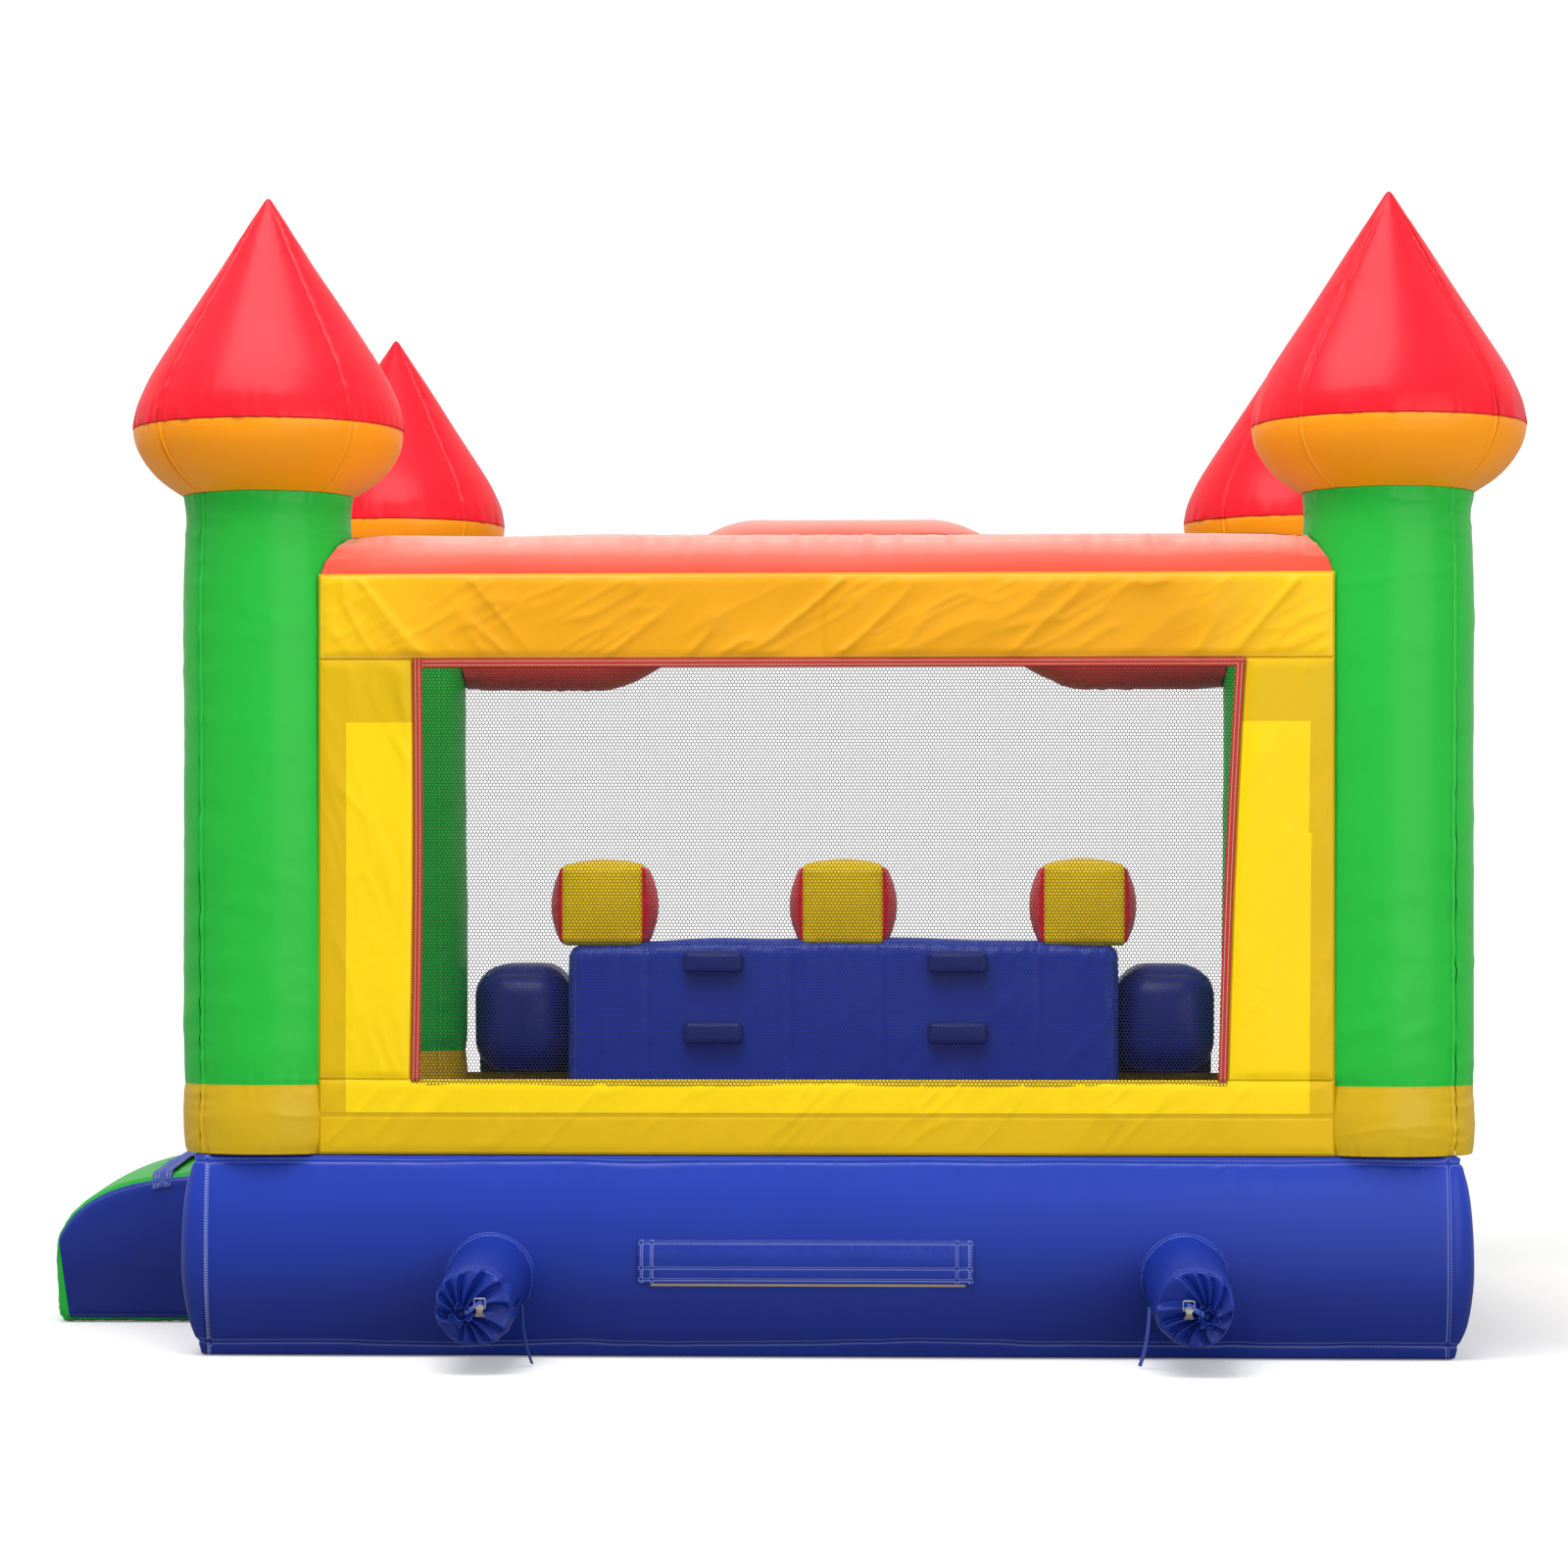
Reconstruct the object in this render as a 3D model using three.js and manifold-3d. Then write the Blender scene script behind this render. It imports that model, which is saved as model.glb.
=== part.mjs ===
import * as THREE from "three";
import { mergeVertices } from "three/addons/utils/BufferGeometryUtils.js";
import Module from "manifold-3d";

// Inflatable castle bounce house with a climb-over wall and a two-lane slide, in millimetres.
// The origin is the middle of the mattress underside. X runs to the right of someone facing
// the blower tubes, Y runs from the tubes to the slide, and Z is up.

// Fabric and clearances
const GAP = 0.3;
const SKIN = 8;
const PANEL = 10;
const NET = 4;

// Mattress, its inner webs and the jumping floor
const BASE_HALF = 1980;
const BASE_HEIGHT = 620;
const BASE_CORNER = 95;
const BASE_BEVEL = 60;
const WEB_PITCH = 400;
const WEB_COUNT = 9;
const WEB_THICK = 6;
const FLOOR_THICK = 15;
const FLOOR_HALF = 1925;

// Corner towers
const TOWER_AT = 1728;
const COLUMN_R = 265;
const COLUMN_TOP = 2655;
const BOWL_TOP = 2860;
const TOWER_SIDES = 20;

// Beams between the towers
const BEAM_R = 150;
const BEAM_Z = 2380;
const BEAM_AT = 1777;
const BEAM_END = 1560;
const BEAM_SIDES = 20;
const ARCH_RISE = 330;
const ARCH_FOOT = 960;
const ARCH_FLAT = 330;

// Single-layer wall panels between the towers
const WALL_AT = 1938;
const WALL_HALF = 1540;
const SILL_FOOT = BASE_HEIGHT + GAP;
const SILL_TOP = 847;
const HEADER_BOTTOM = 2140;
const HEADER_TOP = 2400;
const WINDOW_HALF = 1268;
const DOOR_HALF = 450;
const LOW_SILL_TOP = 740;

// Climb-over wall on the slide side
const CLIMB_HALF = 1060;
const CLIMB_NEAR = 1550;
const CLIMB_FAR = 1925;
const CLIMB_TOP = 1250;
const CLIMB_BEVEL = 50;
const MERLON_WIDE = 410;
const MERLON_DEEP = 355;
const MERLON_TOP = 1557;
const MERLON_X = { left: -925, middle: 0, right: 925 };
const STEP_SIZE = [232, 70, 84];
const STEP_X = { left: -495, right: 440 };
const STEP_Z = { upper: 1174, lower: 904 };

// Slide
const SLIDE_START = BASE_HALF + GAP;
const SLIDE_LEDGE = WALL_AT + 1;
const SLIDE_CREST = 2040;
const SLIDE_END = 4150;
const SLIDE_TOP = 1120;
const LANE_LOW = 150;
const LANE_FOOT = 3800;
const RAIL_WIDE = 370;
const RAIL_BOTTOM = 743;
const RAIL_TOP = 1170;
const RAIL_NEAR = 1640;
const RAIL_LEVEL_END = 2050;
const RAIL_LOW = 480;
const DIVIDER_WIDE = 240;
const DIVIDER_HIGH = 190;

// Entrance ramp
const RAMP_HALF = 820;
const RAMP_OUTLINE = [
  [-BASE_HALF - GAP, 0],
  [-2540, 0],
  [-2550, 160],
  [-2525, 305],
  [-2450, 385],
  [-2262, 470],
  [-BASE_HALF - GAP, 520],
];

// Air tubes, their cinch straps and cam buckles
const TUBE_R = 125;
const TUBE_X = { left: -1020, right: 1095 };
const TUBE_Z = 250;
const TUBE_ROOT = 1930;
const TUBE_LENGTH = 570;
const TUBE_DROOP = THREE.MathUtils.degToRad(5);
const KNOT_AT = [36, -19];
const BUCKLE_AT = [20, 7];
const NECK_R = 17;
const BUCKLE_WIDE = 37;
const BUCKLE_BAR = 4;
const BUCKLE_FOOT = -8;
const SLOT_FOOT = 2;
const SLOT_TOP = 20;
const STRAP_THICK = 4;
const PIN_R = 1.8;
const CAM_LONG = 30;

// Deflation zip under its flap, on the tube side of the mattress
const FLAP_LEFT = -568;
const FLAP_RIGHT = 456;
const FLAP_BOTTOM = 231;
const FLAP_TOP = 364;
const FLAP_THICK = 6;
const FLAP_STANDOFF = 9;
const FLAP_BAND = 22;
const ZIP_X = 405;
const ZIP_Z = 285;

// Air ports: the sewn-in holes through which one chamber fills the next
const PORT_R = 90;
const SMALL_PORT_R = 40;
const MERGE_DISTANCE = 0.001;

const wasm = await Module();
wasm.setup();

// Materials: coated fabric in seven colours, the net, webbing and two metals
const finishes = {
  blue: [0x1a3283, 0.45, 0],
  green: [0x32bd47, 0.45, 0],
  yellow: [0xfdd909, 0.5, 0],
  amber: [0xe9a513, 0.5, 0],
  orange: [0xfda31c, 0.45, 0],
  coral: [0xfe6751, 0.45, 0],
  red: [0xfe3849, 0.45, 0],
  net: [0x24262c, 0.8, 0],
  web: [0x223a9a, 0.8, 0],
  inner: [0xd8dade, 0.7, 0],
  steel: [0xb9bcc2, 0.3, 0.9],
  zinc: [0x9a958c, 0.45, 0.8],
};

function finish(name) {
  const [color, roughness, metalness] = finishes[name];
  return new THREE.MeshStandardMaterial({ color, roughness, metalness });
}

const house = new THREE.Group();

function add(name, geometry, material, parent = house) {
  const mesh = new THREE.Mesh(geometry, finish(material));
  mesh.name = name;
  parent.add(mesh);
  return mesh;
}

// Closed geometry to solid and back, for joining and cutting
function toSolid(geometry) {
  const bare = geometry.clone();
  bare.deleteAttribute("normal");
  bare.deleteAttribute("uv");
  const merged = mergeVertices(bare, MERGE_DISTANCE);
  const corners = Array.from(merged.index.array);
  const kept = [];
  for (let i = 0; i < corners.length; i += 3) {
    const triangle = corners.slice(i, i + 3);
    if (new Set(triangle).size === 3) kept.push(...triangle);
  }
  const vertProperties = merged.attributes.position.array;
  const triVerts = new Uint32Array(kept);
  return new wasm.Manifold(new wasm.Mesh({ numProp: 3, vertProperties, triVerts }));
}

function toGeometry(solid) {
  const mesh = solid.getMesh();
  const geometry = new THREE.BufferGeometry();
  geometry.setAttribute("position", new THREE.BufferAttribute(mesh.vertProperties, 3));
  geometry.setIndex(new THREE.BufferAttribute(mesh.triVerts, 1));
  return geometry;
}

function join(geometries) {
  return geometries.map(toSolid).reduce((whole, piece) => whole.add(piece));
}

// An air chamber: make(inset) gives its outer surface at 0 and its inner one at SKIN.
// Each port is a geometry that opens the chamber to its neighbour.
function chamber(make, ports) {
  const hollow = toSolid(make(0)).subtract(toSolid(make(SKIN)));
  return toGeometry(ports.map(toSolid).reduce((rest, port) => rest.subtract(port), hollow));
}

// A cylinder from one point to another, used for tubes and for ports
function rod(from, to, radius, sides = 16) {
  const start = new THREE.Vector3(...from);
  const along = new THREE.Vector3(...to).sub(start);
  const geometry = new THREE.CylinderGeometry(radius, radius, along.length(), sides);
  const turn = new THREE.Quaternion();
  turn.setFromUnitVectors(new THREE.Vector3(0, 1, 0), along.clone().normalize());
  geometry.applyQuaternion(turn);
  const middle = start.addScaledVector(along, 0.5);
  return geometry.translate(middle.x, middle.y, middle.z);
}

function polygon(points) {
  return new THREE.Shape(points.map(([a, b]) => new THREE.Vector2(a, b)));
}

// A block with its front corner at low and its back one at high
function block(low, high) {
  const size = high.map((value, i) => value - low[i]);
  const middle = high.map((value, i) => (value + low[i]) / 2);
  return new THREE.BoxGeometry(...size).translate(...middle);
}

// A pillow: the outline carried along its normal, with both rims rounded by the bevel.
// It is centred on the outline's plane, and inset shrinks it on every side.
function pillow(shape, thick, bevel, inset, bevelSegments = 3) {
  const depth = thick - 2 * (bevel + inset);
  const geometry = new THREE.ExtrudeGeometry(shape, {
    depth,
    bevelEnabled: true,
    bevelThickness: bevel,
    bevelSize: bevel,
    bevelOffset: -bevel - inset,
    bevelSegments,
    curveSegments: 4,
  });
  return geometry.translate(0, 0, -depth / 2);
}

// An outline drawn as (Y, Z) and carried along X
function acrossX(geometry, x = 0) {
  const turn = new THREE.Matrix4().makeBasis(
    new THREE.Vector3(0, 1, 0),
    new THREE.Vector3(0, 0, 1),
    new THREE.Vector3(1, 0, 0),
  );
  return geometry.applyMatrix4(turn).translate(x, 0, 0);
}

// An outline drawn as (X, Z) and carried along Y
function acrossY(geometry, y = 0) {
  return geometry.rotateX(Math.PI / 2).translate(0, y, 0);
}

function squareOutline(half, corner) {
  const shape = new THREE.Shape();
  const turns = [
    [half - corner, half - corner, 0],
    [corner - half, half - corner, Math.PI / 2],
    [corner - half, corner - half, Math.PI],
    [half - corner, corner - half, Math.PI * 1.5],
  ];
  for (const [x, y, start] of turns) {
    shape.absarc(x, y, corner, start, start + Math.PI / 2, false);
  }
  return shape;
}

// A solid of revolution about Z from (radius, height) points that start and end on the axis
function turned(points, sides = TOWER_SIDES) {
  const profile = points.map(([r, z]) => new THREE.Vector2(r, z));
  return new THREE.LatheGeometry(profile, sides).rotateX(Math.PI / 2);
}

// A ring of revolution: the wall between an outer profile and the same profile drawn in
function turnedSkin(outer) {
  const inner = outer.map(([r, z]) => [r - SKIN, z]).reverse();
  return turned([...outer, ...inner, outer[0]]);
}

// Ports shared by two neighbours are cut through both
const towerPlaces = [
  ["near_left", -TOWER_AT, -TOWER_AT],
  ["near_right", TOWER_AT, -TOWER_AT],
  ["far_left", -TOWER_AT, TOWER_AT],
  ["far_right", TOWER_AT, TOWER_AT],
];
const merlonY = CLIMB_NEAR + 10 + MERLON_DEEP / 2;
const climbY = (CLIMB_NEAR + CLIMB_FAR) / 2;
const upright = (x, y, z, radius) => rod([x, y, z - 40], [x, y, z + 40], radius);
const slidePort = rod([0, BASE_HALF - 60, 300], [0, BASE_HALF + 60, 300], PORT_R);
const rampPort = rod([-BASE_HALF - 60, 0, 250], [-BASE_HALF + 60, 0, 250], PORT_R);
const climbPort = upright(0, climbY, BASE_HEIGHT, PORT_R);
const merlonPorts = Object.values(MERLON_X).map((x) =>
  upright(x, merlonY, CLIMB_TOP, SMALL_PORT_R),
);

function tubeFrame(side) {
  const frame = new THREE.Group();
  frame.position.set(TUBE_X[side], -TUBE_ROOT, TUBE_Z);
  frame.rotation.x = TUBE_DROOP;
  frame.updateMatrix();
  return frame;
}

function makeMattress() {
  const outline = squareOutline(BASE_HALF, BASE_CORNER);
  const middle = BASE_HEIGHT / 2;
  const make = (inset) =>
    pillow(outline, BASE_HEIGHT, BASE_BEVEL, inset).translate(0, 0, middle);
  const tubeHoles = Object.keys(TUBE_X).map((side) =>
    rod([0, 60, 0], [0, -160, 0], TUBE_R + GAP, BEAM_SIDES).applyMatrix4(tubeFrame(side).matrix),
  );
  const towerHoles = towerPlaces.map(([, x, y]) => upright(x, y, BASE_HEIGHT, PORT_R));
  const ports = [slidePort, rampPort, climbPort, ...towerHoles, ...tubeHoles];
  add("base_mattress", chamber(make, ports), "blue");
}

// Upright webs that tie the top of the mattress to its underside, joined by one cross web
function makeBaffles() {
  const reach = (WEB_PITCH * (WEB_COUNT - 1)) / 2 + 100;
  const low = SKIN + GAP;
  const high = BASE_HEIGHT - SKIN - GAP;
  const webs = [block([-reach, -WEB_THICK / 2, low], [reach, WEB_THICK / 2, high])];
  for (let i = 0; i < WEB_COUNT; i += 1) {
    const x = (i - (WEB_COUNT - 1) / 2) * WEB_PITCH;
    webs.push(block([x - WEB_THICK / 2, -reach, low], [x + WEB_THICK / 2, reach, high]));
  }
  add("base_baffles", toGeometry(join(webs)), "inner");
}

// The floor fills the mattress top between the towers, up to the climbing wall
function makeFloor() {
  const notch = TOWER_AT - COLUMN_R - 5;
  const far = CLIMB_NEAR - GAP;
  const outline = polygon([
    [-notch, -FLOOR_HALF],
    [notch, -FLOOR_HALF],
    [notch, -notch],
    [FLOOR_HALF, -notch],
    [FLOOR_HALF, notch],
    [notch, notch],
    [notch, far],
    [-notch, far],
    [-notch, notch],
    [-FLOOR_HALF, notch],
    [-FLOOR_HALF, -notch],
    [-notch, -notch],
  ]);
  const floor = new THREE.ExtrudeGeometry(outline, { depth: FLOOR_THICK, bevelEnabled: false });
  add("jump_floor", floor.translate(0, 0, BASE_HEIGHT + GAP), "blue");
}

// Each tower is a column, a flared bowl and a cone, open to each other inside
function makeTowers() {
  const columnFoot = BASE_HEIGHT + GAP;
  const column = [
    [COLUMN_R, columnFoot],
    [COLUMN_R, COLUMN_TOP],
  ];
  const bowl = [
    [262, COLUMN_TOP + GAP],
    [331, 2682],
    [387, 2738],
    [412, 2795],
    [420, BOWL_TOP],
  ];
  const cone = [
    [420, BOWL_TOP + GAP],
    [405, 2937],
    [360, 3030],
    [303, 3120],
    [210, 3260],
    [116, 3404],
  ];
  const coneOuter = [[0, BOWL_TOP + GAP], ...cone, [0, 3600]];
  const coneInner = [
    [0, BOWL_TOP - 10],
    [410, BOWL_TOP - 10],
    ...cone.map(([r, z]) => [r - SKIN - 2, z]),
    [0, 3582],
  ];
  const coneSkin = toGeometry(toSolid(turned(coneOuter)).subtract(toSolid(turned(coneInner))));
  for (const [place, x, y] of towerPlaces) {
    const tower = new THREE.Group();
    tower.position.set(x, y, 0);
    house.add(tower);
    add(`tower_${place}_column`, turnedSkin(column), "green", tower);
    add(`tower_${place}_bowl`, turnedSkin(bowl), "orange", tower);
    add(`tower_${place}_cone`, coneSkin.clone(), "red", tower);
  }
}

// A beam is a tube that ends against both towers; it is drawn along X at -Y
function cutToTowers(tube) {
  const towers = [-TOWER_AT, TOWER_AT].map((x) =>
    rod([x, -TOWER_AT, 2000], [x, -TOWER_AT, 3000], COLUMN_R + GAP, TOWER_SIDES),
  );
  return toGeometry(towers.map(toSolid).reduce((rest, tower) => rest.subtract(tower), tube));
}

function straightBeam() {
  const tube = (radius, end) =>
    rod([-end, -BEAM_AT, BEAM_Z], [end, -BEAM_AT, BEAM_Z], radius, BEAM_SIDES);
  const outer = toSolid(tube(BEAM_R, BEAM_END));
  return cutToTowers(outer.subtract(toSolid(tube(BEAM_R - SKIN, BEAM_END + 50))));
}

// The slide-side beam rises in the middle, for headroom over the climbing wall
function archedBeam() {
  const path = (end) => {
    const places = [-end, -1250, -960, -800, -645, -490, -330, 0];
    const mirrored = places.slice(0, -1).map((x) => -x).reverse();
    const points = [...places, ...mirrored].map((x) => {
      const share = (ARCH_FOOT - Math.abs(x)) / (ARCH_FOOT - ARCH_FLAT);
      const rise = ARCH_RISE * THREE.MathUtils.smoothstep(share, 0, 1);
      return new THREE.Vector3(x, -BEAM_AT, BEAM_Z + rise);
    });
    return new THREE.CatmullRomCurve3(points);
  };
  const tube = (radius, end) => {
    const ring = new THREE.Shape().absarc(0, 0, radius, 0, Math.PI * 2, false);
    const extrudePath = path(end);
    return new THREE.ExtrudeGeometry(ring, { steps: 18, curveSegments: 6, extrudePath });
  };
  const outer = toSolid(tube(BEAM_R, BEAM_END));
  return cutToTowers(outer.subtract(toSolid(tube(BEAM_R - SKIN, BEAM_END + 20))));
}

// A flat panel of one wall, drawn in the wall's own frame: X along it, outer face at -WALL_AT
function sheet(left, right, low, high, thick = PANEL) {
  const inset = (PANEL - thick) / 2;
  return block([left, -WALL_AT + inset, low], [right, -WALL_AT + PANEL - inset, high]);
}

function makeWall(name, turn, nearFar) {
  const wall = new THREE.Group();
  wall.rotation.z = turn;
  house.add(wall);
  const [first, second] = nearFar;
  add(`beam_${name}`, straightBeam(), "coral", wall);
  const header = sheet(-WALL_HALF, WALL_HALF, HEADER_BOTTOM + GAP, HEADER_TOP);
  add(`${name}_header`, header, "amber", wall);
  const panel = (from, to) => sheet(from, to, SILL_TOP + GAP, HEADER_BOTTOM);
  add(`${name}_panel_${first}`, panel(-WALL_HALF, -WINDOW_HALF - GAP), "yellow", wall);
  add(`${name}_panel_${second}`, panel(WINDOW_HALF + GAP, WALL_HALF), "yellow", wall);
  return wall;
}

function makeWindowWall(name, turn, nearFar) {
  const wall = makeWall(name, turn, nearFar);
  add(`${name}_sill`, sheet(-WALL_HALF, WALL_HALF, SILL_FOOT, SILL_TOP), "yellow", wall);
  const net = sheet(-WINDOW_HALF, WINDOW_HALF, SILL_TOP + GAP, HEADER_BOTTOM, NET);
  add(`${name}_net`, net, "net", wall);
}

function makeEntranceWall(name, turn, nearFar) {
  const wall = makeWall(name, turn, nearFar);
  const [first, second] = nearFar;
  for (const [side, sign] of [
    [first, -1],
    [second, 1],
  ]) {
    const span = (half) => [sign * DOOR_HALF, sign * half].sort((a, b) => a - b);
    const sill = sheet(...span(WALL_HALF), SILL_FOOT, SILL_TOP);
    add(`${name}_sill_${side}`, sill, "yellow", wall);
    const net = sheet(...span(WINDOW_HALF), SILL_TOP + GAP, HEADER_BOTTOM, NET);
    add(`${name}_net_${side}`, net, "net", wall);
  }
}

function makeSlideSide() {
  const side = new THREE.Group();
  side.rotation.z = Math.PI;
  house.add(side);
  add("beam_slide_side", archedBeam(), "coral", side);
  add("slide_sill", sheet(-WALL_HALF, WALL_HALF, SILL_FOOT, LOW_SILL_TOP), "yellow", side);
}

function makeClimbingWall() {
  const low = BASE_HEIGHT + GAP;
  const outline = polygon([
    [CLIMB_NEAR, low],
    [CLIMB_FAR, low],
    [CLIMB_FAR, CLIMB_TOP],
    [CLIMB_NEAR, CLIMB_TOP],
  ]);
  const make = (inset) => acrossX(pillow(outline, CLIMB_HALF * 2, CLIMB_BEVEL, inset));
  add("climbing_wall", chamber(make, [climbPort, ...merlonPorts]), "blue");
}

function makeMerlons() {
  const near = merlonY - MERLON_DEEP / 2;
  const far = merlonY + MERLON_DEEP / 2;
  const outline = polygon([
    [near, CLIMB_TOP + GAP],
    [far, CLIMB_TOP + GAP],
    [far, MERLON_TOP],
    [near, MERLON_TOP],
  ]);
  for (const [place, x] of Object.entries(MERLON_X)) {
    const make = (inset) => acrossX(pillow(outline, MERLON_WIDE, 50, inset), x);
    add(`merlon_${place}`, chamber(make, merlonPorts), "yellow");
  }
}

function makeSteps() {
  const [wide, deep, high] = STEP_SIZE;
  const shape = polygon([
    [-deep / 2, -high / 2],
    [deep / 2, -high / 2],
    [deep / 2, high / 2],
    [-deep / 2, high / 2],
  ]);
  for (const [column, x] of Object.entries(STEP_X)) {
    for (const [row, z] of Object.entries(STEP_Z)) {
      const step = add(`climbing_step_${column}_${row}`, acrossX(pillow(shape, wide, 14, 0, 2)), "blue");
      step.position.set(x, CLIMB_NEAR - GAP - deep / 2, z);
    }
  }
}

// The lane falls in a straight line from the crest to its foot
function laneHeight(y) {
  const share = (y - SLIDE_CREST) / (LANE_FOOT - SLIDE_CREST);
  return SLIDE_TOP + (LANE_LOW - SLIDE_TOP) * share;
}

function makeSlide() {
  const bed = polygon([
    [SLIDE_START, 0],
    [SLIDE_END, 0],
    [SLIDE_END, LANE_LOW],
    [LANE_FOOT, LANE_LOW],
    [SLIDE_CREST, SLIDE_TOP],
    [SLIDE_LEDGE, SLIDE_TOP],
    [SLIDE_LEDGE, SILL_FOOT + 5],
    [SLIDE_START, SILL_FOOT + 5],
  ]);
  const railPorts = [-1, 1].map((side) =>
    rod([side * (CLIMB_HALF - 60), 2500, 300], [side * (CLIMB_HALF + 60), 2500, 300], PORT_R),
  );
  const dividerPort = upright(0, 3000, laneHeight(3000), SMALL_PORT_R);
  const bedPorts = [slidePort, dividerPort, ...railPorts];
  const makeBed = (inset) => acrossX(pillow(bed, CLIMB_HALF * 2, 30, inset));
  add("slide_bed", chamber(makeBed, bedPorts), "green");

  const rail = polygon([
    [RAIL_NEAR, RAIL_BOTTOM],
    [SLIDE_START, RAIL_BOTTOM],
    [SLIDE_START, 0],
    [SLIDE_END, 0],
    [SLIDE_END, RAIL_LOW - 90],
    [SLIDE_END - 90, RAIL_LOW],
    [RAIL_LEVEL_END, RAIL_TOP],
    [RAIL_NEAR, RAIL_TOP],
  ]);
  const railX = CLIMB_HALF + GAP + RAIL_WIDE / 2;
  for (const [place, x] of Object.entries({ left: -railX, right: railX })) {
    const makeRail = (inset) => acrossX(pillow(rail, RAIL_WIDE, 60, inset), x);
    add(`slide_rail_${place}`, chamber(makeRail, railPorts), "blue");
  }

  const lift = GAP * 2;
  const top = DIVIDER_HIGH;
  const divider = polygon([
    [SLIDE_CREST, laneHeight(SLIDE_CREST) + lift],
    [LANE_FOOT - 60, laneHeight(LANE_FOOT - 60) + lift],
    [LANE_FOOT - 60, laneHeight(LANE_FOOT - 60) + top],
    [SLIDE_CREST, laneHeight(SLIDE_CREST) + top],
  ]);
  const makeDivider = (inset) => acrossX(pillow(divider, DIVIDER_WIDE, 45, inset));
  add("slide_divider", chamber(makeDivider, [dividerPort]), "yellow");
}

function makeRamp() {
  const make = (inset) => acrossY(pillow(polygon(RAMP_OUTLINE), RAMP_HALF * 2, 30, inset));
  add("entrance_ramp", chamber(make, [rampPort]), "green");
}

// A tube hangs from its root and is gathered shut. In its own frame -Y runs out along it.
// The gathered fabric ends in a knot beside the buckle; lean is -1 or 1 in X.
function makeTube(side, lean) {
  const frame = tubeFrame(side);
  house.add(frame);
  const end = TUBE_LENGTH;
  const outward = (points) => turned(points, BEAM_SIDES).rotateX(Math.PI / 2);
  const outer = outward([
    [0, 0],
    [TUBE_R, 0],
    [TUBE_R, end - 50],
    [116, end - 16],
    [90, end],
    [0, end - 6],
  ]);
  const inner = outward([
    [0, -10],
    [TUBE_R - SKIN, -10],
    [TUBE_R - SKIN, end - 52],
    [108, end - 22],
    [86, end - 8],
    [0, end - 14],
  ]);
  const [knotX, knotZ] = [lean * KNOT_AT[0], KNOT_AT[1]];
  const neck = rod([knotX, 4 - end, knotZ], [knotX, -end - 26, knotZ], NECK_R, 12);
  const knot = new THREE.SphereGeometry(30, 12, 8).scale(1, 0.6, 1);
  knot.translate(knotX, -end - 36, knotZ);
  const tube = toSolid(outer).subtract(toSolid(inner)).add(toSolid(neck)).add(toSolid(knot));
  add(`air_tube_${side}`, toGeometry(tube), "blue", frame);

  const bandNear = -end - 2;
  const bandFar = -end - 16;
  const band = toSolid(rod([knotX, bandNear, knotZ], [knotX, bandFar, knotZ], NECK_R + 4, 16));
  const bore = toSolid(rod([knotX, 0, knotZ], [knotX, -end - 60, knotZ], NECK_R + GAP, 16));
  const [buckleX, buckleZ] = [-lean * BUCKLE_AT[0], BUCKLE_AT[1]];
  const bandBack = bandFar + STRAP_THICK;
  const [low, high] = [knotX, buckleX].sort((a, b) => a - b);
  const tongue = toSolid(block([low, bandFar, buckleZ - 22], [high, bandBack, buckleZ - 2]));
  const fill = BUCKLE_WIDE / 2 - BUCKLE_BAR - GAP;
  const pad = toSolid(
    block([buckleX - fill, bandFar, buckleZ - 20], [buckleX + fill, bandBack, buckleZ + 18]),
  );
  const slotLow = buckleZ + SLOT_FOOT + GAP;
  const slotHigh = buckleZ + SLOT_TOP - GAP;
  const plug = toSolid(
    block([buckleX - fill, bandFar - 3, slotLow], [buckleX + fill, bandBack, slotHigh]),
  );
  const strap = band.add(tongue).add(pad).add(plug).subtract(bore);
  add(`tube_strap_${side}`, toGeometry(strap), "web", frame);

  makeBuckle(side, frame, buckleX, bandFar - GAP, buckleZ);
}

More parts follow.
